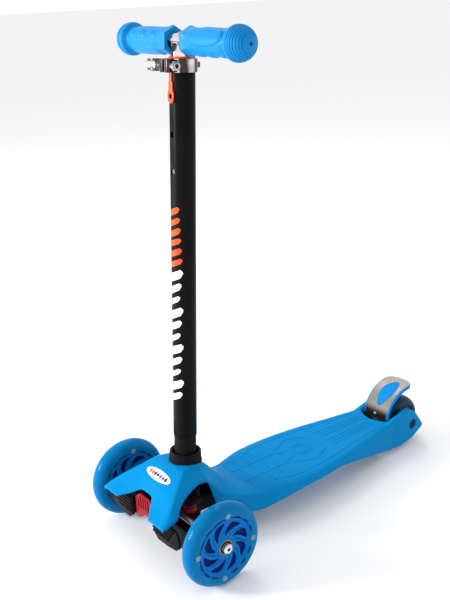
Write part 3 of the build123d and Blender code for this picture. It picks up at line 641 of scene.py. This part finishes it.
def deck_piece():
    """The blue moulding: nose hood, standing deck and rear fork in one."""
    spacing = 2.0
    ys = np.linspace(STATIONS[0][0], STATIONS[-1][0], int((STATIONS[-1][0] - STATIONS[0][0]) / spacing))
    rows = smooth_table(STATIONS, ys)
    rings = [section_ring(y, row) for y, row in zip(ys, rows)]
    n = len(rings[0])
    points = [p for ring in rings for p in ring]
    faces = grid_faces(len(rings), n)
    half = n // 2
    for start, last in ((0, False), ((len(rings) - 1) * n, True)):
        for k in range(half - 1):
            quad = (start + k, start + k + 1, start + n - 2 - k, start + n - 1 - k)
            faces.append(quad if last else tuple(reversed(quad)))
    shell = mesh_object("deck_moulding", points, faces)

    notch = prism("notch", rounded_loop(NOTCH, 5), 60, 140, place)
    socket = revolve("socket_hole", rod_section(-70, 30, 22.2), 64, column_place, "z")
    carve(shell, [notch, socket])

    extras = []
    for side in (-1, 1):
        def fork_map(p, s=side):
            outer = 39.8 - 0.022 * max(0, p[0] - DECK_END_Y) if p[2] > 0 else 30.2
            return place((s * outer, p[0], p[1]))
        fork = prism("fork", rounded_loop(FORK_OUTLINE, 6), 0, 1, fork_map)
        extras.append(bevel(fork, 2.2, 3, 50))
    for y in CROSS_RIB_YS:
        row = smooth_table(STATIONS, [y])[0]
        reach, rim = row[3] - 1.5, row[5]
        outline = [(-reach, rim + 3), (reach, rim + 3), (reach, RIB_TOP), (-reach, RIB_TOP)]
        extras.append(prism("cross_rib", outline, y - 1.2, y + 1.2, front_map))
        for x in LONG_RIB_XS:
            foot = max(rim, 34) + 4
            outline = [(y, foot), (y + 29, foot), (y + 29, RIB_TOP), (y, RIB_TOP)]
            if y < 400:
                extras.append(prism("long_rib", outline, x - 1.2, x + 1.2, side_map))
    wall = [(-37, 12), (37, 12), (38.5, RIB_TOP), (-38.5, RIB_TOP)]
    extras.append(prism("well_wall", wall, WELL_Y - WALL, WELL_Y, front_map))
    for x in (-10, 10):
        for y in (84, 108):
            top = 74 if y < 100 else 63
            extras.append(revolve("boss", rod_section(52, top, 5, 2.2), 20, place, "z", (x, y, 0)))
    shell = join([shell] + extras)
    remesh(shell, 1.05, 1)
    slot = prism("slot", rounded_loop([(-30, WELL_Y), (30, WELL_Y), (30, 440), (-30, 440)], 5), 8, 90, place)
    bow = prism("slot_bow", rounded_loop(SLOT_BOW, 4), 52, 90, place)
    carve(shell, [slot, bow])
    remesh(shell, 1.05, 5)

    bores = [revolve("axle_bore", rod_section(-60, 60, 4.3), 32, place, "x", REAR_AXLE)]
    for side in (-1, 1):
        a, b = sorted((side * 33.2, side * 45))
        bores.append(revolve("axle_recess", rod_section(a, b, 8.8), 40, place, "x", REAR_AXLE))
    carve(shell, bores)
    return dress(shell, "deck", "deck", ("deck",), angle=40)


def tread_piece():
    """Raised tread lines on the standing face."""
    top = DECK_TOP + 0.05
    lines = []

    def run(points, radius=0.55, soft=4):
        lines.append((rounded_path([(x, y, top) for x, y in points], soft, 5), radius))

    for side in (-1, 1):
        run([(side * 17, 112), (side * 17, 205), (side * 10, 217), (side * 10, 226)])
        for k in range(5):
            y = 126 + 19 * k
            run([(side * 22, y), (side * min(47, 36 + 4 * k), y - 3 - k)], 0.5, 1)
        run([(side * 40, 160), (side * 52, 185), (side * 55, 215), (side * 52, 262), (side * 44, 310),
             (side * 37, 360), (side * 32, 400)], 0.5, 30)
        run([(side * 24, 216), (side * 38, 250), (side * 24, 284)], 0.6, 3)
        for k in range(3):
            spread = side * (k + 1)
            run([(8 * spread, 302), (7 * spread, 330 + 4 * k), (6 * spread, 396)], 0.5, 6)
    for k in range(5):
        y = 118 + 19 * k
        run([(-13, y), (0, y + 3), (13, y)], 0.5, 3)
    run([(-24, 216), (24, 216)], 0.6)
    run([(-24, 284), (24, 284)], 0.6)
    pieces = [bead("tread_line", path, radius, place, flatten=0.8) for path, radius in lines]
    for radius in (12, 17):
        ring = [(radius * cos(2 * pi * k / 6 + 0.5236), 250 + 1.15 * radius * sin(2 * pi * k / 6 + 0.5236))
                for k in range(6)]
        path = [(x, y, top) for x, y in rounded_loop(ring, 2.5)]
        pieces.append(bead("tread_ring", path, 0.55, place, closed=True, flatten=0.8))
    dress(join(pieces), "deck", "deck", angle=60)


def badge_piece(deck):
    """Oval badge laid on the hood, with a plain row of coloured lozenges."""
    tree = BVHTree.FromObject(deck, bpy.context.evaluated_depsgraph_get())
    slope = atan2(9, 14)

    def on_hood(u, v, lift):
        start = place((u, -18 + v * cos(slope), 119.7 + v * sin(slope)))
        up = Vector((0, -sin(slope), cos(slope)))
        hit = tree.ray_cast(start + up * 0.03, -up)[0]
        return (hit if hit else start) + up * (lift * MM)

    def patch(name, outline_rings, lift, material, replaced=()):
        count = len(outline_rings[0])
        middle = tuple(sum(p[i] for p in outline_rings[0]) / count for i in (0, 1))
        points = [middle] + [p for ring in outline_rings for p in ring]
        heights = [lift] * (1 + (len(outline_rings) - 2) * count) + [lift - 0.15] * count + [-0.3] * count
        faces = [(0, 1 + j, 1 + (j + 1) % count) for j in range(count)]
        for i in range(len(outline_rings) - 1):
            for j in range(count):
                k = (j + 1) % count
                a, b = 1 + i * count, 1 + (i + 1) * count
                faces.append((a + j, b + j, b + k, a + k))
        lifted = [(u, v, h) for (u, v), h in zip(points, heights)]
        obj = mesh_object(name, lifted, faces, lambda p: on_hood(*p))
        dress(obj, "deck", material, replaced, angle=50)

    def oval(scale, a=27.5, b=7.7, steps=72):
        turns = [2 * pi * k / steps for k in range(steps)]
        return [(a * scale * cos(turn), b * scale * sin(turn)) for turn in turns]

    patch("badge_oval", [oval(s) for s in (0.3, 0.6, 0.85, 0.96, 1.0, 1.0)], 0.5, "white", ("badge",))
    colors = ["orange", "magenta", "ink", "ink", "sky_print", "magenta", "ink"]
    for k, color in enumerate(colors):
        u = -18 + 6 * k
        tall = 5.0 if k % 2 == 0 else 3.8
        shape = [(0, -tall), (3.2, -0.3), (0.8, tall), (-3.2, 0.3)]
        rings = [[(u + x * s, y * s) for x, y in rounded_loop(shape, 0.8, 3)] for s in (0.5, 0.9, 1.0, 1.0)]
        patch(f"badge_lozenge_{k}", rings, 0.62, color)


# ---------------------------------------------------------------- wheels
def tyre_section(radius, half, inner):
    """Closed section of a rounded tyre as (along, radius)."""
    depth = radius - inner
    shoulder = inner + 0.3 * depth
    crown = []
    for k in range(25):
        a = pi * k / 24
        reach = abs(sin(a)) ** 0.86
        crown.append((half * cos(a), shoulder + (radius - shoulder) * reach))
    return [(0.78 * half, inner)] + [(0.93 * half, inner + 0.1 * depth)] + crown + \
        [(-0.93 * half, inner + 0.1 * depth), (-0.78 * half, inner)]


def polar(a, r):
    """Wheel-plane point: angle from the top towards the rear."""
    return (r * sin(a), r * cos(a))


def swirl(a, r, inner, outer, lead):
    """Angle swept as the radius grows."""
    return a + lead * max(0.0, (r - inner) / (outer - inner)) ** 0.85


def chaikin(points, rounds=3):
    """Closed outline smoothed by corner cutting."""
    for _ in range(rounds):
        cut = []
        for (ax, ay), (bx, by) in zip(points, points[1:] + points[:1]):
            cut.append((0.75 * ax + 0.25 * bx, 0.75 * ay + 0.25 * by))
            cut.append((0.25 * ax + 0.75 * bx, 0.25 * ay + 0.75 * by))
        points = cut
    return points


def window_outline(k, count, inner, outer, lead):
    """Teardrop window between two swept spokes, pointed at the hub."""
    pitch = 2 * pi / count
    base = k * pitch
    shape = [(-0.02, -0.05), (-0.02, 0.09), (0.28, 0.28), (0.6, 0.37), (0.9, 0.38), (1.0, 0.24),
             (1.0, -0.18), (0.9, -0.32), (0.55, -0.25), (0.25, -0.14)]
    points = []
    for t, across in shape:
        r = inner + (outer - inner) * t
        points.append(polar(swirl(base, r, inner, outer, lead) - across * pitch, r))
    return chaikin(points)


def slot_outline(k, count, inner, outer, lead):
    """Thin swept slot down the middle of a spoke."""
    pitch = 2 * pi / count
    base = (k + 0.5) * pitch
    left, right = [], []
    for i in range(8):
        r = inner + (outer - inner) * i / 7
        middle = swirl(base, r, inner, outer, lead)
        left.append(polar(middle - 1.05 / r, r))
        right.append(polar(middle + 1.05 / r, r))
    return rounded_loop(left + list(reversed(right)), 0.9, 3)


def wheel_map(x, y, z):
    """(rearward, up, along) in the wheel plane to the row frame."""
    return lambda p: place((x + p[2], y + p[0], z + p[1]))


def core_piece(name, x, y, z, half, outer, hub, window, count, body, materials):
    """Wheel core: dished disc with leaf windows and swept slots."""
    mapper = wheel_map(x, y, z)
    face, edge, dark = materials
    face_x = half - 1.2
    right = [(face_x + 0.9, 11.0), (face_x + 0.9, hub - 1.0), (face_x + 0.2, hub), (face_x, outer - 3.4),
             (half, outer - 2.2), (half, outer)]
    section = [(-along, r) for along, r in reversed(right)] + right
    disc = revolve(name + "_disc", section, 96, place, "x", (x, y, z))
    lead = radians(36)
    low, high = hub + 3.5, window
    outlines = [window_outline(k, count, low, high, lead) for k in range(count)]
    slots = [slot_outline(k, count, low, high - 2.5, lead) for k in range(count)] if high - low > 10 else []
    cutters = [prism("window", line, -half - 2, half + 2, mapper) for line in outlines + slots]
    carve(disc, [join(cutters)])
    bevel(disc, 0.5, 2, 40)
    dress(disc, body, face, (name,), angle=45)
    # Window rims in the edge finish: on the front wheels a lighter blue, a painted highlight along the
    # window edges.
    rims = []
    for line in outlines + slots:
        for side in (-1, 1):
            path = [(u, v, side * face_x) for u, v in line]
            rims.append(bead("window_rim", path, 0.34, mapper, closed=True, sides=6))
    dress(join(rims), body, edge, angle=70)
    # Web behind the windows in a near-black finish: painted shade in the depth of the window recesses.
    deep = face_x - 2.6
    web = revolve(name + "_web", rod_section(-deep, deep, window + 1.5, hub), 64, place, "x", (x, y, z))
    dress(web, body, dark, angle=40)


def bearing_piece(name, x, y, z, half, body, shades=("brass", "dark_steel", "steel")):
    """Bearing rings and shield at each end of the hub."""
    for side in (-1, 1):
        def turned(label, profile, material, replaced=(), s=side):
            ring = [(x + s * a, r) for a, r in profile]
            obj = revolve(f"{name}_{label}_{'outer' if s > 0 else 'inner'}", ring, 64, place, "x", (0, y, z))
            dress(obj, body, material, replaced, angle=35)
        end = half - 0.5
        turned("race", [(end - 6.8, 9.2), (end - 6.8, 10.95), (end - 0.4, 10.95), (end, 10.6), (end, 9.5),
                        (end - 0.3, 9.2)], shades[0], (name,) if side > 0 else ())
        turned("shield", [(end - 6.5, 6.2), (end - 6.5, 9.2), (end - 0.7, 9.2), (end - 0.5, 8.6),
                          (end - 0.9, 7.6), (end - 0.6, 6.2)], shades[1])
        turned("bush", [(end - 6.8, 4.05), (end - 6.8, 6.2), (end - 0.2, 6.2), (end, 6.0), (end, 4.05)],
               shades[2])


def front_wheel(side):
    """One front wheel with its lights."""
    word = WORD[side]
    body, name = f"wheel_{word}", f"wheel_{word}"
    x, y, z = side * FRONT_X, 0, FRONT_R
    tyre = revolve(f"{name}_ring", tyre_section(FRONT_R - 0.02, 12.95, 42.0), 144, place, "x", (x, y, z))
    dress(tyre, body, "tyre", (f"{name}_tyre",), angle=50)
    core_piece(f"{name}_core", x, y, z, half=11.8, outer=41.9, hub=13.2, window=37.6, count=8, body=body,
               materials=("core", "core_rim_highlight", "core_dark"))
    bearing_piece(f"{name}_bearings", x, y, z, 12.5, body)
    dashes = []
    for k in range(16):
        if k % 4 == 0:
            continue
        start = radians(22.5 * k)
        for face in (-1, 1):
            path = []
            for i in range(7):
                u, v = polar(start + radians(12) * i / 6, 43.6)
                path.append((u, v, face * 12.45))
            dashes.append(bead("dash", path, 0.65, wheel_map(x, y, z), sides=6))
    dress(join(dashes), body, "core_dark", angle=60)
    blocks = []
    for k in range(4):
        for face in (-1, 1):
            a = radians(90 * k + 6)
            u0, r0 = 3.6, 42.5
            outline = []
            for du, dr in rounded_loop([(-u0, 0), (u0, 0), (u0 * 1.1, 7.2), (-u0 * 1.1, 7.2)], 1.3):
                r = r0 + dr
                outline.append((du * cos(a) + r * sin(a), -du * sin(a) + r * cos(a)))
            low, high = sorted((face * 4.0, face * 12.97))
            blocks.append(prism("light", outline, low, high, wheel_map(x, y, z)))
    lights = bevel(join(blocks), 0.5, 2)
    dress(lights, body, "light", (f"{name}_lights",))


def rear_wheel():
    """Small dark rear wheel."""
    section = tyre_section(REAR_R - 0.02, 16.9, 25.0)
    tyre = revolve("rear_wheel_ring", section, 120, place, "x", REAR_AXLE)
    dress(tyre, "rear_wheel", "rear_tyre", ("rear_wheel_tyre",), angle=50)
    core_piece("rear_wheel_core", *REAR_AXLE, half=13.8, outer=24.9, hub=12.6, window=21.0, count=6,
               body="rear_wheel", materials=("rear_tyre", "rear_tyre", "core_dark"))
    bearing_piece("rear_wheel_bearings", *REAR_AXLE, 17.0, "rear_wheel", ("dark_steel",) * 3)


def axle_bolt_piece(side):
    """Polished bolt head in the middle of a front wheel."""
    word = WORD[side]
    profile = [(89, 0.02), (89, 3.9), (128.3, 3.9), (128.3, 6.6), (128.7, 7.0), (131.6, 7.0), (132.9, 5.6),
               (132.9, 2.5), (129.4, 2.4), (129.4, 0.02)]
    axle, outward = (0, 0, FRONT_R), [(side * a, r) for a, r in profile]
    head = revolve(f"axle_bolt_{word}_turned", outward, 64, place, "x", axle)
    dress(head, f"knuckle_{word}", "bolt", (f"axle_bolt_{word}",), angle=28)
    dimple = rod_section(side * 129.5, side * 129.9, 2.38, 0.02)
    socket = revolve(f"axle_socket_{word}", dimple, 24, place, "x", axle)
    dress(socket, f"knuckle_{word}", "dark_steel")


# ---------------------------------------------------------------- brake
BRAKE_HINGE = (425.0, 51.0)
BRAKE_SPINE = [
    (422.3, 57), (422.7, 63), (424.3, 70), (427.8, 77.5), (433.2, 85), (441.5, 93), (448, 97.5),
    (454.3, 100.8), (462, 103.6), (470, 105.2), (478.5, 106.2), (486, 106.3), (492, 105.5),
]


def brake_frame():
    """Even samples of the spine with their outward normals and lengths along it."""
    raw = [Vector(p) for p in BRAKE_SPINE]
    lengths = [0.0]
    for a, b in zip(raw, raw[1:]):
        lengths.append(lengths[-1] + (b - a).length)
    total = lengths[-1]
    count = 56
    samples = []
    table = [(s, p.x, p.y) for s, p in zip(lengths, raw)]
    targets = [total * k / count for k in range(count + 1)]
    for s, (y, z) in zip(targets, smooth_table(table, targets)):
        samples.append((s, Vector((y, z))))
    out = []
    for k, (s, p) in enumerate(samples):
        before, after = samples[max(0, k - 1)][1], samples[min(count, k + 1)][1]
        along = (after - before).normalized()
        out.append((s, p, Vector((-along.y, along.x))))
    return out, total


def brake_half_width(s, total, half, nose):
    """Half-width that closes in a round nose at the free end."""
    left = total - s
    if left >= nose:
        return half
    return half * sqrt(max(0.0, 1 - ((nose - left) / nose) ** 2)) ** 0.9


def brake_sheet(name, outer, inner, half, nose, start=0.0):
    """Curved plate between two offsets from the spine."""
    samples, total = brake_frame()
    columns = 17
    rows = [(s, p, n) for s, p, n in samples if s >= start]
    top, bottom = [], []
    for s, p, n in rows:
        w = max(0.6, brake_half_width(s, total, half, nose))
        for j in range(columns):
            t = 2 * j / (columns - 1) - 1
            x = w * sin(t * pi / 2)
            dip = 0.5 * (x / half) ** 2
            a, b = p + n * (-outer - dip), p + n * (-inner - dip)
            top.append((x, a.x, a.y))
            bottom.append((x, b.x, b.y))
    return mesh_object(name, top + bottom, plate_faces(len(rows), columns))


def brake_pieces():
    """Steel tread plate, blue arm, ribbed insert and rivet."""
    plate = bevel(brake_sheet("brake_steel", 0.0, 1.4, 23.4, 14), 0.45, 2, 40)
    dress(plate, "brake", "brushed", ("brake_plate",), angle=40)
    arm = brake_sheet("brake_moulding", 0.3, 5.1, 25.8, 17, 1.0)
    barrel = revolve("brake_barrel", rod_section(-28.8, 28.8, 5.0, 2.6), 40, place, "x", (0, *BRAKE_HINGE))
    web = prism("brake_web", [(420.6, 50), (429.6, 50), (429.3, 60), (424.6, 60)], -24.8, 24.8, side_map)
    dress(bevel(arm, 0.5, 2, 40), "brake", "brake_blue", ("brake_arm",), angle=40)
    dress(bevel(join([barrel, web]), 0.5, 2, 40), "brake", "black", angle=40)
    insert_pieces()
    dome = [(0.02, 0.02), (0.02, 3.2), (-1.2, 3.0), (-2.1, 2.0), (-2.5, 0.02)]
    rivet = revolve("rivet_dome", dome, 32, place, "y", (0, 422.4, 63.5))
    dress(rivet, "brake", "zinc", ("brake_rivet",), angle=30)


def insert_pieces():
    """Teardrop grip insert with fine cross ribs."""
    samples, total = brake_frame()
    first, last = 20.0, 78.5
    columns = 15

    def half_widths(s):
        t = min(1.0, max(0.0, (s - first) / (last - first)))
        return 13.0 * sin(pi * t ** 1.15) ** 0.62

    def at(s):
        k = s / total * (len(samples) - 1)
        i = min(int(k), len(samples) - 2)
        f = k - i
        spot = samples[i][1].lerp(samples[i + 1][1], f)
        return spot, samples[i][2].lerp(samples[i + 1][2], f).normalized()

    rows = 120
    points, under = [], []
    for i in range(rows + 1):
        s = first + (last - first) * i / rows
        p, n = at(s)
        base = p + n * -0.6
        w = max(0.05, half_widths(s))
        lean = 1.4 + 2.6 * (s - first) / (last - first)
        for j in range(columns):
            t = 2 * j / (columns - 1) - 1
            x = w * sin(t * pi / 2) + lean
            rim = min(1.0, (1 - abs(t)) * 6) * min(1.0, 6 * min(i, rows - i) / rows * 4)
            rib = 0.9 * (0.5 + 0.5 * cos(2 * pi * (s + 0.25 * x) / 4.1))
            height = (0.35 + rib) * rim + 0.02
            spot = p + n * height
            points.append((x, spot.x, spot.y))
            under.append((x, base.x, base.y))
    insert = mesh_object("brake_insert", points + under, plate_faces(rows + 1, columns))
    dress(insert, "brake", "brake_blue", ("brake_pad",), angle=60)


# ---------------------------------------------------------------- grips and T-bar
def grip_piece(side):
    """Rubber grip: hexagonal inner flange, oval palm pad, round studs and ridged mushroom end."""
    word = WORD[side]
    # along the bar, radius, how hexagonal the section is
    profile = [(15.2, 13.2, 0), (15.2, 14.6, 0.6), (15.2, 16.8, 1), (16.2, 17.5, 1), (22.0, 17.5, 1),
               (24.0, 17.0, 0.8), (27, 16.6, 0.4), (31, 16.3, 0.1), (40, 16.2, 0), (60, 16.6, 0),
               (80, 16.5, 0), (92, 16.2, 0), (95, 15.6, 0), (97, 14.8, 0), (101, 14.6, 0),
               (103.5, 15.6, 0), (105, 18.6, 0), (106.5, 20.6, 0), (108.5, 21.2, 0)]
    for k in range(70, -1, -1):
        turn = radians(1.3 * k)
        ridge = 1.0 * (0.5 + 0.5 * cos(2 * pi * degrees(turn - radians(30)) / 9.5)) if k > 23 else 0.0
        reach = 21.4 - ridge
        profile.append((111.4 + reach * cos(turn), max(2.2, reach * sin(turn)), 0))
    profile.append((126.0, 2.0, 0))
    fine = []
    for a, b in zip(profile, profile[1:]):
        parts = 10 if b[0] - a[0] > 6 else (3 if b[0] - a[0] > 2 else 1)
        fine += [tuple(p + (q - p) * k / parts for p, q in zip(a, b)) for k in range(parts)]
    fine.append(profile[-1])
    steps = 180
    lining = [(112.2, 0.4), (112.2, 11.2), (15.2, 11.2)]
    points = []
    for k in range(steps):
        a = 2 * pi * k / steps
        wedge = (a + pi / 6) % (pi / 3) - pi / 6
        hexagon = cos(pi / 6) / cos(wedge)
        for along, r, hex_share in fine:
            grow = 1 + hex_share * (hexagon * 1.06 - 1)
            radius = r * grow + pad_height(along, a, side)
            points.append((side * along, radius * cos(a), radius * sin(a) + BAR_AXIS_Z))
        for along, r in lining:
            points.append((side * along, r * cos(a), r * sin(a) + BAR_AXIS_Z))
    faces = grid_faces(steps, len(fine) + len(lining), wrap_rows=True)
    grip = mesh_object(f"grip_{word}_rubber", points, faces, column_place)
    dress(grip, "t_bar", "grip", (f"grip_{word}",), angle=48)


def pad_height(along, angle, side):
    """Raised palm pad and studs on the grip's barrel, in millimetres."""
    turn = degrees(angle)

    def blob(centre_along, centre_turn, half_along, half_turn, height, edge):
        away = (turn - centre_turn + 180) % 360 - 180
        d = hypot((along - centre_along) / half_along, away / half_turn)
        return height * max(0.0, min(1.0, (1 - d) / edge))

    pad_turn, stud_turn = (150, 255) if side > 0 else (252, 147)
    total = blob(64, pad_turn, 35, 48, 1.5, 0.1)
    for k in range(3):
        spot = 46 + 23 * k
        for turned in (stud_turn, 30):
            total = max(total, blob(spot, turned, 7.5, 24, 1.1, 0.28))
    return total


def bar_piece():
    """Chromed T-bar: stem and crossbar fused with a soft weld."""
    cross = revolve("t_bar_chrome", rod_section(-112, 112, 11.0, 9.5), 64, column_place, "x",
                    (0, 0, BAR_AXIS_Z))
    dress(cross, "t_bar", "chrome_bar", ("handlebar",), angle=30)
    profile = [(350, 12.5), (350, 14.0), (540, 14.0), (543.5, 13.7), (546.5, 12.6), (549, 11.6),
               (556, 10.6), (556, 9.5)]
    stem = revolve("t_bar_stem", profile, 72, column_place, "z")
    dress(stem, "t_bar", "chrome_stem", angle=30)
    weld = []
    for k in range(64):
        a = 2 * pi * k / 64
        x, y = 12.3 * cos(a), min(10.9, max(-10.9, 12.3 * sin(a)))
        weld.append((x, y, BAR_AXIS_Z - sqrt(max(0.0, 11.0 ** 2 - y * y)) - 0.2))
    dress(bead("t_bar_weld", weld, 0.9, column_place, closed=True), "t_bar", "zinc", angle=60)


# ---------------------------------------------------------------- column
def decal_pieces():
    """Generic slanted bars round the front of the tube, orange over white."""
    def bar(name, z0, tall, turn0, turn1, slant, material):
        columns = 22
        outline_top, outline_low = [], []
        for k in range(columns + 1):
            t = k / columns
            turn = turn0 + (turn1 - turn0) * t
            taper = min(1.0, 6 * min(t, 1 - t) + 0.25)
            z = z0 + slant * (t - 0.5)
            outline_low.append((turn, z - tall / 2 * taper))
            outline_top.append((turn, z + tall / 2 * taper))
        outer = [(turn, z, 16.62) for turn, z in outline_low + outline_top]
        inner = [(turn, z, 16.4) for turn, z in outline_top + outline_low]
        m = columns + 1
        faces = grid_faces(4, m, wrap_rows=True, wrap_columns=False)
        faces += [(0, m, 2 * m, 3 * m), (m - 1, 4 * m - 1, 3 * m - 1, 2 * m - 1)]

        def wrap(p):
            a = radians(p[0])
            return column_place((p[2] * sin(a), -p[2] * cos(a), p[1]))
        obj = mesh_object(name, outer + inner, faces, wrap)
        dress(obj, "column", material, angle=30)

    for k in range(6):
        start, end = -42 + 8 * (k % 3), 36 + 2.5 * k
        bar(f"decal_orange_{k}", 344 - 13.5 * k, 8.2 - 0.7 * (k % 2), start, end, 9, "orange")
    for k in range(11):
        reach = 50 - 7 * (k % 3)
        bar(f"decal_white_{k}", 258 - 17.2 * k, 11.5 - 2.0 * (k % 3), -46 + 6 * (k % 2), reach, 12, "white")


def socket_piece():
    """Black cup with a rounded rim, standing on the hood."""
    profile = [(-52, 15.7), (-52, 19.8), (-17, 19.8), (-17, 23.6), (-13.5, 23.4), (-11.0, 22.6),
               (-1.2, 22.4), (-0.3, 22.0), (0, 21.2), (0, 19.6), (-0.5, 19.0), (-3.4, 18.5), (-7.5, 15.8)]
    cup = revolve("column_cup", profile, 96, column_place, "z")
    dress(cup, "deck", "black", ("column_socket",), angle=30)


def foot_piece():
    """Foot plug of the column, with a fine groove."""
    profile = [(-44, 0.02), (-44, 15.0), (-43.4, 15.45), (2, 15.45), (2.4, 15.1), (3.4, 15.1), (3.8, 15.45),
               (24.6, 15.45), (25.4, 15.0), (25.4, 14.9), (60, 14.9), (60, 0.02)]
    foot = revolve("column_plug", profile, 80, column_place, "z")
    dress(foot, "column", "black", ("column_foot",), angle=30)


def beam_aprons():
    """Black mouldings on the front of the beam, inboard of each knuckle."""
    for side in (-1, 1):
        shape = [(28, 48), (44, 38), (56, 32), (76, 32), (98, 42), (98, 58), (90, 66), (28, 68)]
        outline = rounded_loop([(side * x, z) for x, z in shape], 3)
        apron = prism("beam_apron", outline, -24.5, -12.2, front_map)
        dress(bevel(apron, 1.0, 3), "front_axle", "black", angle=40)


def deck_rib():
    """Web on the middle plane under the hood, which closes the view through the hood opening; its black is
    painted shade for the dim inside of the hood.
    """
    outline = [(50, 48), (88, 48), (88, 66), (80, 71), (50, 71)]
    dress(bevel(prism("deck_rib", outline, -1.4, 1.4, side_map), 0.5, 2), "deck", "black", angle=40)


def axle_washers():
    """Dark washers at the bottom of the rear axle's recesses."""
    for side in (-1, 1):
        profile = [(33.3, 0.02), (33.3, 8.9), (35.7, 8.9), (36.0, 8.4), (36.0, 0.02)]
        ring = [(side * along, r) for along, r in profile]
        washer = revolve("axle_washer", ring, 48, place, "x", REAR_AXLE)
        dress(washer, "deck", "dark_steel", angle=30)


def nut_socket():
    """Dark socket in the clamp nut, inside a bright ring."""
    low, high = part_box("clamp_nut")
    middle = (low + high) / 2
    nut_face = (high.x / MM, middle.y / MM - NOSE_Y, middle.z / MM)
    socket = revolve("nut_socket", rod_section(-0.6, 0.25, 2.9, 0.02), 40, place, "x", nut_face)
    dress(socket, "column", "dark_steel", angle=30)
    rim = [(-0.5, 2.9), (-0.5, 4.2), (0.5, 3.9), (0.7, 3.3), (0.5, 2.9)]
    ring = revolve("nut_ring", rim, 40, place, "x", nut_face)
    dress(ring, "column", "bolt", angle=30)


# ---------------------------------------------------------------- red stops
def elastomer_pieces():
    """Red rubber stops, standing between the beam below and the chassis wing above."""
    stop_x, stop_y = 38, 4
    for side, word in WORD.items():
        low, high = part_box(f"lean_elastomer_{word}")
        base, tall = low.z / MM, (high.z - low.z) / MM
        profile = [(0.1, 0.02), (0.1, 9.0)]
        for k in range(1, 24):
            t = k / 24
            waist = 0.8 if abs(t - 0.5) < 0.04 else 0
            profile.append((tall * t, 9.2 + 1.7 * abs(sin(2 * pi * t)) - waist))
        profile += [(tall - 0.1, 8.4), (tall - 0.1, 0.02)]
        raised = [(base + a, r) for a, r in profile]
        stop = revolve(f"lean_stop_{word}", raised, 48, place, "z", (side * stop_x, stop_y, 0))
        skin(stop, "red_rubber", (f"lean_elastomer_{word}",), 40)
        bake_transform(stop)


def spring_piece():
    """Pedal spring, pressed together between the chassis and the pedal."""
    coil = new_object("pedal_coil", frame["nodes"]["pedal_spring"].data.copy())
    skin(coil, "spring", ("pedal_spring",), 60)
    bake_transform(coil)


# ---------------------------------------------------------------- build
add_camera()
MATERIAL = make_materials()
add_studio()

deck_object = deck_piece()
tread_piece()
badge_piece(deck_object)
for wheel_side in (1, -1):
    front_wheel(wheel_side)
    axle_bolt_piece(wheel_side)
rear_wheel()
brake_pieces()
for grip_side in (1, -1):
    grip_piece(grip_side)
bar_piece()
decal_pieces()
socket_piece()
foot_piece()
elastomer_pieces()
spring_piece()
beam_aprons()
deck_rib()
axle_washers()
nut_socket()

# CAD nodes shown with rounded edges: material and edge radius in millimetres.
ROUNDED = {
    "steering_chassis": ("black", 0.6), "front_skirt": ("black", 0.4), "front_beam": ("black", 0.6),
    "knuckle_left": ("black", 0.4), "knuckle_right": ("black", 0.4), "release_pedal": ("red", 0.4),
    "clamp_collar": ("polished", 0.4), "clamp_spacer": ("black", 0.4), "clamp_nut": ("zinc", 0.4),
    "cam_seat": ("dark_mottled", 0.2), "quick_release_lever": ("dark_mottled", 0.5), "guide_sleeve": ("orange", 0.3),
    "tie_rod": ("zinc", 0.3), "steering_arm_left": ("zinc", 0.3), "steering_arm_right": ("zinc", 0.3),
    "column_tube": ("coat", 0.3),
}
# CAD nodes shown as they are, by material.
PLAIN = {
    "zinc": ("pedal_pin", "lean_pivot_bolt", "drive_pin", "deck_screws", "brake_hinge_pin",
             "axle_spacer_left", "axle_spacer_right", "clamp_bolt", "cam_pin"),
    "spring": ("brake_spring", "button_spring"),
    "dark_steel": ("rear_axle", "rear_axle_nut", "rear_spacers"),
    # The height button's dark mottled metal is painted shade: it keeps the tube's holes dark where the
    # button shows through.
    "dark_mottled": ("king_pin_left", "king_pin_right", "height_button"),
}
for node, (finish, width) in ROUNDED.items():
    rounded_copy(node, finish, width)
for finish, nodes in PLAIN.items():
    for node in nodes:
        source = frame["nodes"][node]
        source.data.materials.clear()
        source.data.materials.append(MATERIAL[finish])
